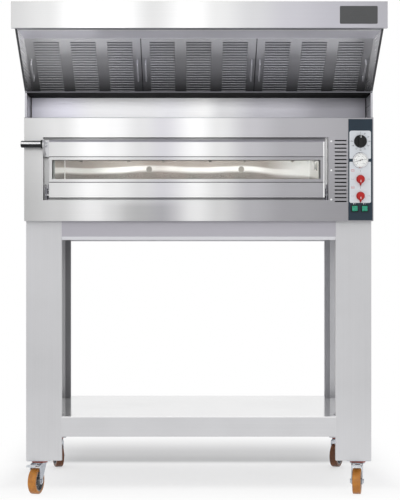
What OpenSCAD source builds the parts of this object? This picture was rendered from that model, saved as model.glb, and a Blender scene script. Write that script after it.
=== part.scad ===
// Electric pizza oven on a castor stand with an extraction hood.
// Lengths in millimetres. X runs to the right, Y to the rear, Z up.
// The origin is on the floor, under the middle of the outline.

/* [Deck] */
// Width of the oven deck
deck_w = 1350; // [1300:10:1450]
// Height of the oven deck
deck_h = 400; // [390:5:430]
// Depth of the oven deck
deck_d = 900; // [880:10:1000]
// Thickness of the steel sheet
sheet = 2; // [1.5:0.5:3]
// Depth of the folded edges of the front panel
fold_d = 20; // [15:1:30]
// Setback of the rear cover, which shelters the cable gland
rear_inset = 30; // [26:1:40]
// Radius of the hole through the cable gland
gland_r = 8; // [6:0.5:10]
// Distance of the cable gland from the deck's right side
gland_side = 110; // [80:5:150]
// Height of the cable gland over the deck's underside
gland_rise = 60; // [40:5:80]
// Distance of each group of rear slots from the middle
slots_x = 400; // [300:10:420]
// Width of a rear slot
slot_w = 160; // [100:10:200]
// Height of a rear slot
slot_h = 6; // [4:1:8]
// Distance from one rear slot to the next
slot_pitch = 16; // [12:1:20]
// Number of rear slots in a group
slot_n = 9; // [4:1:12]
// Height of the lowest rear slot over the deck's underside
slot_rise = 140; // [110:5:160]

/* [Chamber] */
// Height from the chamber floor sheet to its ceiling
chamber_h = 174; // [170:1:185]
// Gap between the deck's left side and the chamber
chamber_left = 87; // [80:1:95]
// Gap between the chamber and the deck's right side, where the controls are
chamber_right = 183; // [170:1:200]
// Gap between the chamber and the deck's rear
chamber_back = 134; // [110:1:180]
// Height of the chamber floor sheet over the deck's underside
chamber_rise = 110; // [95:1:112]
// Thickness of the refractory slabs
slab_t = 14; // [10:1:18]
// Space under the slabs for the lower elements
slab_lift = 14; // [12:1:18]
// Number of slabs side by side
slab_n = 3; // [2:1:4]
// Thickness of the insulation round the chamber
wool_t = 48; // [30:1:50]
// Half width of the flattened heating element tubes
element_r = 4; // [3:0.5:5]
// Distance of the lamp from the chamber's front edge
lamp_set = 342; // [250:2:400]
// Distance of the lamp's axis under the chamber's ceiling
lamp_drop = 40; // [34:1:60]
// Radius of the lamp's holder
lamp_r = 20; // [16:1:24]
// Distance between the two caps on the chamber's rear wall
cap_step = 406; // [300:2:500]
// Distance of their middle from the deck's middle, to the left
cap_shift = 11; // [0:1:30]
// Radius of a cap
cap_r = 13; // [9:0.5:16]

/* [Door] */
// Door recess: distance from the deck's left side
recess_left = 73; // [70:1:80]
// Door recess: distance from the deck's right side
recess_right = 174; // [165:1:185]
// Door recess: height over the deck's underside
recess_rise = 81; // [75:1:84]
// Door recess: height of the opening
recess_h = 242.5; // [240:0.5:250]
// Space between the closed door and the recess's rear
door_room = 4; // [3:0.5:8]
// Gap between the door and the recess on the grip side
door_gap_left = 23; // [22:1:26]
// Gap between the door and the recess on the control side
door_gap_right = 15; // [13:1:18]
// Gap under the door
door_gap_low = 10; // [8:1:12]
// Gap over the door
door_gap_top = 8.5; // [6:0.5:10]
// Thickness of the door
door_t = 40; // [36:1:44]
// Height of the window
window_h = 74; // [60:1:80]
// Height of the window's lower edge over the door's lower edge
window_rise = 71; // [66:1:76]
// Width of the frame beside the window on the grip side
window_left = 12; // [10:1:30]
// Width of the frame beside the window on the control side
window_right = 16; // [10:1:30]
// Width of the raised trim over and under the window
trim_w = 11; // [7:0.5:12]
// Thickness of one glass pane
pane_t = 4; // [3:0.5:5]
// Hinge axis behind the door's face
hinge_set = 12; // [10:1:14]
// Hinge axis above the door's lower edge
hinge_rise = 10; // [9:1:14]
// Radius of the hinge pins
hinge_r = 4; // [3:0.5:5]
// Diameter of the grip
grip_dia = 27; // [22:1:32]
// Length of the grip
grip_l = 84; // [70:1:86]
// Distance of the grip's axis in front of the door
grip_out = 35; // [28:1:45]

/* [Controls] */
// Width of the control panel
panel_w = 93; // [90:1:96]
// Gap between the control panel and the deck's right side
panel_right = 4; // [3:1:8]
// Distance of the thermostat knob's axis over the thermometer's
knob_step = 73.4; // [62:0.2:80]
// Diameter of the thermostat knob
knob_dia = 50; // [40:1:56]
// Distance of the thermometer's axis over the upper heat knob's
dial_step = 73; // [60:0.2:80]
// Diameter of the thermometer
dial_dia = 60; // [50:1:64]
// Distance between the axes of the two heat knobs
heat_step = 64.9; // [56:0.1:70]
// Distance of the lower heat knob's axis over the switches
lower_step = 48.3; // [42:0.1:54]
// Diameter of the heat knobs
heat_dia = 32.5; // [26:0.5:36]
// Radius of the control shafts
shaft_r = 3; // [2.5:0.5:4]
// Width of the thermostat's and the heat switches' bodies
body_w = 42; // [34:1:50]
// Height of these bodies
body_h = 34; // [26:1:40]
// Depth of these bodies behind the front panel
body_d = 34; // [26:1:50]
// Height of the switches over the deck's underside
switch_z = 48.4; // [45:0.1:52]
// Distance between the two switches
switch_step = 38.4; // [36:0.1:42]
// Distance of their middle from the knobs' axis, to the left
switch_shift = 3; // [0:0.5:4]
// Size of the square switch opening
switch_s = 21.4; // [18:0.2:22]
// Number of vent louvres in the front
vent_n = 17; // [10:1:17]
// Distance from one louvre to the next
vent_pitch = 14.7; // [12:0.1:14.7]
// Width of a louvre
vent_w = 46.5; // [30:0.5:48]
// Height of a louvre slot
vent_s = 5; // [3:0.5:7]

/* [Hood] */
// Height of the hood over the deck
hood_h = 395; // [380:5:430]
// Reach of the hood's side panels in front of the deck
overhang = 287; // [250:1:320]
// Setback of the hood's lower front corner behind the deck's face
cheek_set = 22; // [15:1:40]
// Height of the hood's lower front corner over the deck
cheek_h = 103; // [95:1:115]
// Height of the fascia
fascia_h = 97; // [80:1:110]
// Depth of the fascia
fascia_d = 18; // [14:1:24]
// Overlap of the fascia past the side panels
fascia_over = 12; // [10:1:20]
// Depth of the flange under the hood behind the fascia
fascia_flange = 44; // [30:1:60]
// Width of the folded edge on the hood's side panels
cheek_fold = 6; // [4:0.5:16]
// Distance of the plinth panel behind the deck's face
plinth_set = 208; // [190:1:230]
// Setback of the hood's rear from the deck's rear
hood_rear_gap = 20; // [10:1:40]
// Height of the drip tray's front lip
tray_lip = 5; // [4:1:8]
// Number of grease filters side by side
filter_n = 3; // [2:1:3]
// How far the filters reach up behind the soffit
filter_lap = 12; // [8:1:20]
// Thickness of a filter
filter_t = 25; // [20:1:30]
// Slope of the filters
filter_tilt = 31.5; // [30:0.5:33]
// Distance of the filters' lower edge behind the deck's face
filter_set = 313; // [305:1:330]
// Plain sheet over a filter's top louvre
louvre_head = 33; // [28:1:45]
// Plain sheet under a filter's lowest louvre, at least
louvre_foot = 40; // [20:1:60]
// Distance from one louvre row to the next
louvre_pitch = 15.6; // [13:0.1:18]
// Open height of a louvre
louvre_s = 8; // [5:0.5:9]
// Louvre columns in a filter
column_n = 3; // [2:1:3]
// Width of a louvre column
column_w = 98; // [80:1:100]
// Plain sheet between two louvre columns
column_gap = 44; // [20:1:48]
// Wire radius of the filter handles
wire_r = 3; // [2.5:0.5:4]
// Length of a filter handle
bow_l = 110; // [90:1:120]
// Finger room under a filter handle
bow_out = 24; // [20:1:30]
// Radius of the exhaust collar
collar_r = 75; // [70:1:80]
// Height of the exhaust collar over the hood
collar_h = 40; // [30:1:45]
// Distance of the exhaust collar from the deck's face
collar_set = 560; // [520:1:640]

/* [Stand] */
// Setback of the stand from the deck's sides
stand_side = 3; // [0:1:30]
// Setback of the stand behind the deck's face
stand_set = 40; // [30:1:60]
// Setback of the stand from the deck's rear
stand_rear = 80; // [40:5:160]
// Height of the legs
leg_h = 932; // [850:1:1000]
// Width of a front leg
leg_w = 138; // [110:1:150]
// Width of a rear leg
rear_leg_w = 85; // [85:1:110]
// Depth of a leg
leg_d = 100; // [98:1:120]
// Width of the folded edge on the legs
leg_fold = 26; // [15:1:30]
// Height of the aprons under the deck
apron_h = 73; // [60:1:90]
// Height of the slanted hem under the front apron
hem_h = 13; // [10:1:16]
// Height of the shelf's upper face over the leg ends
shelf_rise = 171.5; // [150:0.5:250]
// Height of the shelf's folded edge
shelf_fold = 78.5; // [40:0.5:90]

/* [Castors] */
// Height of a castor over its wheel
castor_head = 31; // [30:1:40]
// Diameter of a wheel
wheel_dia = 100; // [90:1:104]
// Width of a wheel's tread
wheel_w = 32; // [26:1:34]
// Thickness of the tread
tread_t = 11; // [8:1:14]
// Distance from the kingpin to the axle
trail = 38; // [32:1:42]
// Radius of the axle
axle_r = 5; // [4:0.5:6]
// Side of the square foot and castor plates
foot = 96; // [86:1:98]
// Turn of the front left castor
turn_fl = -16; // [-60:1:60]
// Turn of the front right castor
turn_fr = -10; // [-60:1:60]
// Turn of the rear left castor
turn_rl = 18; // [-60:1:60]
// Turn of the rear right castor
turn_rr = -24; // [-60:1:60]

/* [Hidden] */
$fn = 48;
rest = 0.3;       // gap between pieces that rest on each other and can move apart
run = 0.05;       // radial clearance of a shaft in its bore
eps = 0.01;       // overlap between shapes fused into one solid

// Levels and planes
castor_h = wheel_dia + castor_head;
deck_z = castor_h + leg_h;
deck_top = deck_z + deck_h;
face_y = (overhang + fascia_d - deck_d) / 2;
back_y = face_y + deck_d;
half_w = deck_w / 2;
in_w = half_w - sheet;

// Door recess, door and window
rx0 = -half_w + recess_left;
rx1 = half_w - recess_right;
recess_d = door_t + door_room;
rz0 = deck_z + recess_rise;
rz1 = rz0 + recess_h;
dx0 = rx0 + door_gap_left;
dx1 = rx1 - door_gap_right;
dz0 = rz0 + door_gap_low;
dz1 = rz1 - door_gap_top;
wx0 = dx0 + window_left;
wx1 = dx1 - window_right;
wz0 = dz0 + window_rise;
wz1 = wz0 + window_h;
hinge_y = face_y + hinge_set;
hinge_z = dz0 + hinge_rise;
door_back = 12;   // depth of the raised back of the door
back_in = 4;      // inset of the raised back
pane_lap = 8;     // how far the panes reach behind the window's frame
bevel_h = 10;     // slanted upper edge of the door: its height
bevel_d = 8;      // and its depth
groove = 2.5;     // groove between the window trim and the door's sheet
groove_d = 1.2;   // depth of that groove
trim_out = 3;     // how far the window trim stands out of the door
pin_out = 4;      // how far a hinge pin stands out of its bracket
grip_z = dz1 - 21;
bracket_x = rx0 + 2;
bracket_t = 6;
bracket_h = 68;   // how far the grip bracket reaches down
bracket_cut = 25; // rise of its front plate's slanted lower edge

// Chamber
cx0 = -half_w + chamber_left;
cx1 = half_w - chamber_right;
chamber_w = cx1 - cx0;
cz0 = deck_z + chamber_rise;
cz1 = cz0 + chamber_h;
cy0 = face_y + recess_d + sheet;
cy1 = back_y - chamber_back;
mouth_x0 = cx0 + 28;
mouth_x1 = cx1 - 25;
mouth_z0 = cz0 + slab_lift + 2;
mouth_z1 = cz1 - 5;
ledge_w = 12;
slab_z = cz0 + slab_lift;
bay_w = chamber_w / slab_n;
terminal_gap = 12;
element_side = 60;   // room beside each heating element on its bay
element_set = 60;    // room in front of it
lamp_y = cy0 + lamp_set;
lamp_z = cz1 - lamp_drop;

// Controls
lower_z = switch_z + lower_step;
upper_z = lower_z + heat_step;
dial_z = upper_z + dial_step;
knob_z = dial_z + knob_step;
px1 = half_w - panel_right;
px0 = px1 - panel_w;
panel_t = 2;
panel_y = face_y - panel_t;
knob_x = (px0 + px1) / 2;
switch_x = knob_x - switch_shift;
cutout = switch_s + 2.6;
vent_x0 = rx1 + 24;
vent_top = rz1 - 10;
knob_gap = 1;
rocker_tilt = 6;
bezel_out = 3;
dial_out = 6;
dial_pin_r = 1;
needle_rest = 105;   // turn of the needle at rest, leftwards from the top

// Hood
hood_top = deck_top + hood_h;
fascia_z = hood_top - fascia_h;
cheek_y = face_y + cheek_set;
cheek_z = deck_top + cheek_h;
nose_y = face_y - overhang;
hood_back = back_y - hood_rear_gap;
plinth_y = face_y + plinth_set;
tray_z = cheek_z - tray_lip;
tray_top = tray_z + sheet;
soffit_z = fascia_z + 5;
filter_y = face_y + filter_set;
filter_z = tray_top + rest;
filter_w = (2 * in_w - 2 * rest) / filter_n;
soffit_run = (soffit_z - filter_z) / sin(filter_tilt);
filter_l = soffit_run + filter_lap;
louvre_top = filter_l - louvre_head;
louvre_n = floor((louvre_top - louvre_foot) / louvre_pitch);
collar_y = face_y + collar_set;
collar_t = 1.5;

// Stand
stand_y = face_y + stand_set;
stand_back = back_y - stand_rear;
stand_d = stand_back - stand_y;
half_s = half_w - stand_side;
apron_z = deck_z - apron_h;
shelf_z = castor_h + shelf_rise;
inner_s = half_s - leg_w;
rear_s = half_s - rear_leg_w - leg_fold;

// Castors
wheel_r = wheel_dia / 2;
plate_t = 3;
fork_t = 4;
fork_z = castor_h - 16;
king_r = 6;
ear_x = wheel_w / 2 + 3;
ear_t = 3;
hub_r = wheel_r - tread_t;
pedal_y = -40;
pedal_z = wheel_dia + 9;
castor_at = [
    [-half_s + foot / 2, stand_y + foot / 2, turn_fl],
    [half_s - foot / 2, stand_y + foot / 2, turn_fr],
    [-half_s + foot / 2, stand_back - foot / 2, turn_rl],
    [half_s - foot / 2, stand_back - foot / 2, turn_rr]];

// A block between its lowest and highest corners
module block(low, high) {
    translate(low) cube(high - low);
}

// A drawing of (Y, Z) points, drawn out along X
module along_x(x0, x1) {
    translate([x0, 0, 0]) rotate([90, 0, 90]) linear_extrude(x1 - x0) children();
}

// A drawing of (X, Z) points, drawn out along Y
module along_y(y0, y1) {
    translate([0, y1, 0]) rotate([90, 0, 0]) linear_extrude(y1 - y0) children();
}

// A round bar along X or along Y
module bar_x(x0, x1, y, z, r) {
    translate([x0, y, z]) rotate([0, 90, 0]) cylinder(h = x1 - x0, r = r);
}
module bar_y(y0, y1, x, z, r) {
    translate([x, y1, z]) rotate([90, 0, 0]) cylinder(h = y1 - y0, r = r);
}

// A box without its rear wall, of sheet metal, open towards +Y
module pan_y(low, high) {
    difference() {
        block(low, high);
        block(low + [sheet, sheet, sheet], high + [-sheet, 1, -sheet]);
    }
}

// Stand

// Folded leg with its foot plate; the outer corner is at the origin, X and Y run inwards
module leg(w, slant) {
    translate([0, 0, castor_h]) {
        linear_extrude(leg_h) {
            square([w, sheet]);
            square([sheet, leg_d]);
            polygon([[w - sheet, 0], [w, 0], [w + slant, leg_fold],
                [w + slant - sheet, leg_fold], [w - sheet, sheet]]);
        }
        cube([foot, foot, sheet + 2]);
    }
}

module front_left_leg() {
    color("silver") translate([-half_s, stand_y, 0]) leg(leg_w, 0);
}

module front_right_leg() {
    color("silver") translate([half_s, stand_y, 0]) mirror([1, 0, 0]) leg(leg_w, 0);
}

module rear_left_leg() {
    color("silver") translate([-half_s, stand_back, 0]) mirror([0, 1, 0]) leg(rear_leg_w, leg_fold);
}

module rear_right_leg() {
    color("silver") translate([half_s, stand_back, 0]) mirror([1, 0, 0]) mirror([0, 1, 0])
        leg(rear_leg_w, leg_fold);
}

module front_apron() {
    color("gainsboro") along_x(-inner_s, inner_s)
        polygon([[stand_y, deck_z], [stand_y, apron_z + hem_h], [stand_y + hem_h / 2, apron_z],
            [stand_y + hem_h / 2 + sheet, apron_z], [stand_y + sheet, apron_z + hem_h],
            [stand_y + sheet, deck_z]]);
}

module side_aprons() {
    color("gainsboro") for (side = [0, 1]) mirror([side, 0, 0])
        block([-half_s, stand_y + leg_d, apron_z], [-half_s + sheet, stand_back - leg_d, deck_z]);
}

module rear_apron() {
    w = half_s - rear_leg_w - sheet;
    color("gainsboro") block([-w, stand_back - sheet, apron_z], [w, stand_back, deck_z]);
}

// Shelf outline, notched round the legs; inset draws the inside of the folded edge
module shelf_plan(inset) {
    translate([-inner_s + inset, stand_y + inset])
        square([2 * (inner_s - inset), stand_d - 2 * inset]);
    translate([-rear_s + inset, stand_y + leg_d + inset])
        square([2 * (rear_s - inset), stand_d - leg_d - 2 * inset]);
    translate([-half_s + inset, stand_y + leg_d + inset])
        square([2 * (half_s - inset), stand_d - 2 * leg_d - 2 * inset]);
}

module shelf() {
    color("whitesmoke") difference() {
        translate([0, 0, shelf_z - shelf_fold]) linear_extrude(shelf_fold) shelf_plan(0);
        translate([0, 0, shelf_z - shelf_fold - 1]) linear_extrude(shelf_fold + 1 - sheet)
            shelf_plan(sheet);
    }
}

// Castors, drawn with the kingpin on the Z axis and the wheel towards -Y

module at_castor(i) {
    translate([castor_at[i][0], castor_at[i][1], 0]) rotate([0, 0, castor_at[i][2]]) children();
}

module castor_plates() {
    race_z = fork_z + fork_t + rest;
    nut_h = 8;
    color("lightgray") for (i = [0:3]) translate([castor_at[i][0], castor_at[i][1], 0]) {
        translate([-foot / 2 + 2, -foot / 2 + 2, castor_h - plate_t])
            cube([foot - 4, foot - 4, plate_t]);
        translate([0, 0, race_z]) cylinder(h = castor_h - race_z - eps, r = 27);
        translate([0, 0, fork_z - rest - nut_h]) cylinder(h = castor_h - fork_z, r = king_r);
        translate([0, 0, fork_z - rest - nut_h]) cylinder(h = nut_h, r = 11, $fn = 6);
    }
}

module fork(i, pedal) {
    color("lightsteelblue") at_castor(i) {
        difference() {
            union() {
                translate([0, 0, fork_z]) cylinder(h = fork_t, r = 30);
                for (side = [0, 1]) mirror([side, 0, 0]) along_x(ear_x, ear_x + ear_t) {
                    polygon([[20, fork_z + fork_t], [-30, fork_z + fork_t],
                        [pedal_y - 8, fork_z - 3], [pedal_y - 8, pedal_z - 8],
                        [-trail - 13, wheel_r], [-trail + 13, wheel_r]]);
                    translate([-trail, wheel_r]) circle(r = 13);
                }
            }
            translate([0, 0, fork_z - 1]) cylinder(h = fork_t + 2, r = king_r + run);
        }
        bar_x(-ear_x - ear_t - 4, ear_x + ear_t + 4, -trail, wheel_r, axle_r);
        for (side = [0, 1]) mirror([side, 0, 0])
            translate([ear_x + ear_t, -trail, wheel_r]) rotate([0, 90, 0])
                cylinder(h = 5, r = axle_r + 4, $fn = 6);
        if (pedal) bar_x(-ear_x - 1, ear_x + 1, pedal_y, pedal_z, 2.5);
    }
}

module hub(i) {
    boss = ear_x - rest;
    color("darkgray") at_castor(i) translate([0, -trail, wheel_r]) rotate([0, 90, 0]) difference() {
        rotate_extrude() polygon([[axle_r + run, -boss], [axle_r + 8, -boss], [axle_r + 10, -4],
            [hub_r - 6, -4], [hub_r - 4, -wheel_w / 2 + 1], [hub_r, -wheel_w / 2 + 1],
            [hub_r, wheel_w / 2 - 1], [hub_r - 4, wheel_w / 2 - 1], [hub_r - 6, 4],
            [axle_r + 10, 4], [axle_r + 8, boss], [axle_r + run, boss]]);
        for (a = [0:72:288]) rotate([0, 0, a]) translate([(hub_r + axle_r) / 2 + 1, 0, -5])
            cylinder(h = 10, r = 4.5);
    }
}

module tread(i) {
    edge = 4;
    color("darkorange") at_castor(i) translate([0, -trail, wheel_r]) rotate([0, 90, 0])
        rotate_extrude() difference() {
            union() {
                translate([hub_r, -wheel_w / 2]) square([tread_t - edge, wheel_w]);
                translate([hub_r, -wheel_w / 2 + edge]) square([tread_t, wheel_w - 2 * edge]);
                for (z = [-1, 1]) translate([wheel_r - edge, z * (wheel_w / 2 - edge)])
                    circle(r = edge, $fn = 32);
            }
        }
}

module brake_pedal(i) {
    reach = 54;
    color("dimgray") at_castor(i) translate([0, pedal_y, pedal_z]) {
        difference() {
            union() {
                rotate([0, 90, 0]) translate([0, 0, -ear_x + rest]) cylinder(h = 2 * ear_x - 2 * rest, r = 5);
                rotate([-6, 0, 0]) {
                    translate([-ear_x + 1, -reach, 1]) cube([2 * ear_x - 2, reach, 3]);
                    translate([-ear_x + 1, -reach, -4]) cube([2 * ear_x - 2, 3, 6]);
                    for (y = [-reach + 10, -reach + 17, -reach + 24])
                        translate([-ear_x + 4, y, 3]) cube([2 * ear_x - 8, 3, 2]);
                }
            }
            translate([-ear_x, 0, 0]) rotate([0, 90, 0]) cylinder(h = 2 * ear_x, r = 2.5 + run);
        }
    }
}

// Deck casing

// Front panel drawn in (X, Z), with the door recess, vents and control openings
module front_outline() {
    difference() {
        translate([-half_w, deck_z]) square([deck_w, deck_h]);
        translate([rx0, rz0]) square([rx1 - rx0, recess_h]);
        for (i = [0:vent_n - 1]) translate([vent_x0, vent_top - i * vent_pitch - vent_s])
            square([vent_w, vent_s]);
        panel_openings();
    }
}

// Openings shared by the front panel and the control panel
module panel_openings() {
    for (z = [knob_z, upper_z, lower_z])
        translate([knob_x, deck_z + z]) circle(r = shaft_r + 1);
    translate([knob_x, deck_z + dial_z]) circle(r = dial_dia / 3);
    for (side = [-1, 1])
        translate([switch_x + side * switch_step / 2 - cutout / 2, deck_z + switch_z - cutout / 2])
            square([cutout, cutout]);
}

module front_panel() {
    color("silver") {
        along_y(face_y, face_y + sheet) front_outline();
        difference() {
            block([-half_w, face_y, deck_z], [half_w, face_y + fold_d, deck_top]);
            block([-in_w, face_y - 1, deck_z + sheet], [in_w, face_y + fold_d + 1, deck_top - sheet]);
        }
        difference() {
            block([rx0 - sheet, face_y, rz0 - sheet], [rx1 + sheet, face_y + recess_d + sheet, rz1 + sheet]);
            block([rx0, face_y - 1, rz0], [rx1, face_y + recess_d, rz1]);
            block([mouth_x0, face_y, mouth_z0], [mouth_x1, face_y + recess_d + 9, mouth_z1]);
        }
        for (i = [0:vent_n - 1]) along_x(vent_x0 + 1, vent_x0 + vent_w - 1) {
            z = vent_top - i * vent_pitch;
            polygon([[face_y + sheet - eps, z], [face_y + sheet + 5, z - vent_s],
                [face_y + sheet + 6, z - vent_s], [face_y + sheet - eps, z + 1.5]]);
        }
    }
}

module top_cover() {
    y0 = face_y + fold_d;
    color("silver") difference() {
        block([-half_w, y0, deck_top - fold_d], [half_w, back_y, deck_top]);
        block([-in_w, y0 - 1, deck_top - fold_d - 1], [in_w, back_y + 1, deck_top - sheet]);
    }
}

module side_panels() {
    color("silver") for (side = [0, 1]) mirror([side, 0, 0])
        block([-half_w, face_y + fold_d, deck_z + fold_d], [-in_w, back_y, deck_top - fold_d]);
}

module base_tray() {
    y0 = face_y + fold_d;
    color("silver") difference() {
        block([-half_w, y0, deck_z], [half_w, back_y, deck_z + fold_d]);
        block([-in_w, y0 - 1, deck_z + sheet], [in_w, back_y + 1, deck_z + fold_d + 1]);
    }
}

gland_x = half_w - gland_side;
gland_z = deck_z + gland_rise;
gland_fit = gland_r + 3;

module rear_cover() {
    y0 = back_y - rear_inset;
    color("silver") along_y(y0, y0 + sheet) difference() {
        translate([-in_w, deck_z + sheet]) square([2 * in_w, deck_h - 2 * sheet]);
        translate([gland_x, gland_z]) circle(r = gland_fit + rest);
        for (side = [-1, 1], i = [0:slot_n - 1])
            translate([side * slots_x - slot_w / 2, deck_z + slot_rise + i * slot_pitch])
                square([slot_w, slot_h]);
    }
}

module cable_gland() {
    y0 = back_y - rear_inset + sheet;
    nut = gland_fit + 3;
    color("dimgray") difference() {
        union() {
            bar_y(y0 - 14, y0 + 12, gland_x, gland_z, gland_fit);
            translate([gland_x, y0 + 8, gland_z]) rotate([90, 0, 0])
                cylinder(h = 8, r = nut + 2, $fn = 6);
            translate([gland_x, y0 - sheet, gland_z]) rotate([90, 0, 0])
                cylinder(h = 6, r = nut + 2, $fn = 6);
            bar_y(y0 + 8, y0 + 20, gland_x, gland_z, nut);
        }
        bar_y(y0 - 20, y0 + 26, gland_x, gland_z, gland_r);
    }
}

// Inside the deck

module chamber() {
    w = sheet;
    hole = 2 * (element_r + rest);
    color("darkgray") {
        difference() {
            block([cx0 - w, cy0, cz0 - w], [cx1 + w, cy1 + w, cz1 + w]);
            block([cx0, cy0 - 1, cz0], [cx1, cy1, cz1]);
            bar_x(cx1 - 1, cx1 + w + 1, lamp_y, lamp_z, lamp_r + rest);
            for (i = [0:slab_n - 1], side = [-1, 1], z = [lower_element_z(), upper_element_z()])
                translate([bay_x(i) + side * bend_r, cy1, z]) cube([hole, 3 * w, hole], center = true);
        }
        for (i = [0:slab_n]) {
            x = cx0 + i * bay_w;
            block([max(cx0, x - ledge_w), cy0, cz0 - eps], [min(cx1, x + ledge_w), cy1, slab_z]);
        }
        for (side = [-1, 1])
            bar_y(cy1 - 3, cy1 + eps, side * cap_step / 2 - cap_shift, lamp_z, cap_r);
    }
}

function bay_x(i) = cx0 + (i + 0.5) * bay_w;
function lower_element_z() = cz0 + element_r + rest;
function upper_element_z() = cz1 - element_r - rest;
bend_r = bay_w / 2 - ledge_w - element_r - element_side;

module refractory_slabs() {
    color("wheat") for (i = [0:slab_n - 1])
        block([cx0 + i * bay_w + rest, cy0 + rest, slab_z],
            [cx0 + (i + 1) * bay_w - rest, cy1 - rest, slab_z + slab_t]);
}

module insulation() {
    w = sheet;
    y1 = cy1 + w + terminal_gap + wool_t;
    color("khaki") difference() {
        block([cx0 - w - wool_t, cy0, deck_z + sheet], [cx1 + w + wool_t, y1, cz1 + w + wool_t]);
        block([cx0 - w, cy0 - 1, cz0 - w], [cx1 + w, cy1 + w + terminal_gap, cz1 + w]);
        bar_x(cx1, cx1 + w + wool_t + 1, lamp_y, lamp_z, lamp_r + rest);
    }
}

// One hairpin of flattened tube per slab, its cold ends through the chamber's rear wall
module hairpins(z) {
    front = cy0 + element_set + bend_r;
    w = 2 * element_r;
    for (i = [0:slab_n - 1]) translate([bay_x(i), front, z - element_r]) linear_extrude(w) {
        difference() {
            circle(r = bend_r + element_r, $fn = 96);
            circle(r = bend_r - element_r, $fn = 96);
            translate([-bend_r - w, 0]) square([2 * bend_r + 2 * w, bend_r + w]);
        }
        for (side = [-1, 1]) translate([side * bend_r - element_r, -eps])
            square([w, cy1 + sheet + terminal_gap - 2 - front]);
    }
}

module upper_elements() {
    color("dimgray") hairpins(upper_element_z());
}

module lower_elements() {
    color("dimgray") hairpins(lower_element_z());
}

module chamber_lamp() {
    color("ivory") {
        bar_x(cx1 - 3, cx1, lamp_y, lamp_z, lamp_r + 8);
        bar_x(cx1 - 12, cx1 - 3 + eps, lamp_y, lamp_z, lamp_r + 2);
        bar_x(cx1 - eps, cx1 + sheet + wool_t, lamp_y, lamp_z, lamp_r);
    }
}

// Brackets in the gaps beside the door, each with a bore for the hinge pin
module hinge_brackets() {
    t = 3;
    low = hinge_z + 6;          // top of the ear round the pin
    high = hinge_z + 26;        // top of the arm behind it
    arm_y = face_y + recess_d - 18;
    foot_y = face_y + recess_d - 22;
    left = dx0 - door_gap_left / 2;
    right = dx1 + door_gap_right / 2;
    color("gray") for (x = [left, right]) difference() {
        union() {
            block([x - t / 2, hinge_y - 8, rz0], [x + t / 2, face_y + recess_d, low]);
            block([x - t / 2, arm_y, low - 1], [x + t / 2, face_y + recess_d, high]);
            block([x - 5, foot_y, rz0], [x + 5, face_y + recess_d, rz0 + t]);
        }
        bar_x(x - t, x + t, hinge_y, hinge_z, hinge_r + run);
    }
}

// Door

module door_window(y0, y1) {
    block([wx0, y0, wz0], [wx1, y1, wz1]);
}

module door_skin() {
    s = sheet;
    d = door_t - door_back;
    color("silver") {
        difference() {
            union() {
                along_x(dx0, dx1) polygon([[face_y, dz0], [face_y, dz1 - bevel_h],
                    [face_y + bevel_d, dz1], [face_y + d, dz1], [face_y + d, dz0]]);
                block([dx0 + s, face_y - trim_out, wz0 - trim_w], [dx1 - s, face_y + eps, wz1 + trim_w]);
            }
            along_x(dx0 + s, dx1 - s) polygon([[face_y + s, dz0 + s],
                [face_y + s, dz1 - bevel_h - s / 2], [face_y + bevel_d + s / 2, dz1 - s],
                [face_y + d + 1, dz1 - s], [face_y + d + 1, dz0 + s]]);
            door_window(face_y - trim_out - 1, face_y + s + 1);
            for (z = [wz0 - trim_w - groove, wz1 + trim_w])
                block([dx0 - 1, face_y - 1, z], [dx1 + 1, face_y + groove_d, z + groove]);
        }
        bar_x(dx0 - door_gap_left / 2 - pin_out, dx0 + eps, hinge_y, hinge_z, hinge_r);
        bar_x(dx1 - eps, dx1 + door_gap_right / 2 + pin_out, hinge_y, hinge_z, hinge_r);
    }
}

module door_inner_panel() {
    y0 = face_y + door_t - door_back;
    y1 = face_y + door_t;
    o = back_in;
    i = back_in + sheet;
    color("darkgray") difference() {
        union() {
            block([dx0, y0, dz0], [dx1, y0 + sheet, dz1]);
            block([dx0 + o, y0, dz0 + o], [dx1 - o, y1, dz1 - o]);
        }
        block([dx0 + i, y0 - 1, dz0 + i], [dx1 - i, y1 - sheet, dz1 - i]);
        door_window(y0 - 1, y1 + 1);
    }
}

// Two panes, each held by the sheet that it lies against
module door_glass() {
    o = pane_lap;
    back = face_y + door_t - sheet;
    side = o / 2;   // the inner pane stays clear of the raised back's side walls
    color("lightcyan", 0.5) {
        block([wx0 - o, face_y + sheet, wz0 - o], [wx1 + o, face_y + sheet + pane_t, wz1 + o]);
        block([wx0 - side, back - pane_t, wz0 - o], [wx1 + side, back, wz1 + o]);
    }
}

module grip_bracket() {
    y = face_y - grip_out;
    r = grip_dia / 2;
    color("lightgray") {
        along_x(bracket_x, bracket_x + bracket_t) {
            translate([y, grip_z]) circle(r = r + 2);
            polygon([[y, grip_z + r + 2], [face_y - 14, dz1 + 2], [face_y + 22, dz1 + 2],
                [face_y + 22, dz1 - bracket_h], [face_y + 2, dz1 - bracket_h], [y, grip_z - r - 2]]);
        }
        along_y(face_y, face_y + 4) polygon([[bracket_x + 1, dz1 - 3],
            [bracket_x + 1, dz1 + bracket_cut - bracket_h], [dx0, dz1 + 2 - bracket_h], [dx0, dz1 - 3]]);
        block([bracket_x + 1, face_y + 14, dz1 + 2 - bracket_h], [dx0, face_y + 18, dz1 - 3]);
    }
}

module door_grip() {
    y = face_y - grip_out;
    r = grip_dia / 2;
    e = 5;
    color("dimgray") translate([bracket_x, y, grip_z]) rotate([0, -90, 0]) rotate_extrude()
        difference() {
            union() {
                square([r, grip_l - e]);
                square([r - e, grip_l]);
                translate([r - e, grip_l - e]) circle(r = e, $fn = 32);
            }
            translate([-r, -1]) square([r, grip_l + 2]);
        }
}

// Controls

module control_panel() {
    color("darkslategray") along_y(panel_y, face_y) difference() {
        translate([px0, deck_z + 3]) square([panel_w, deck_h - 9]);
        panel_openings();
    }
}

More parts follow.
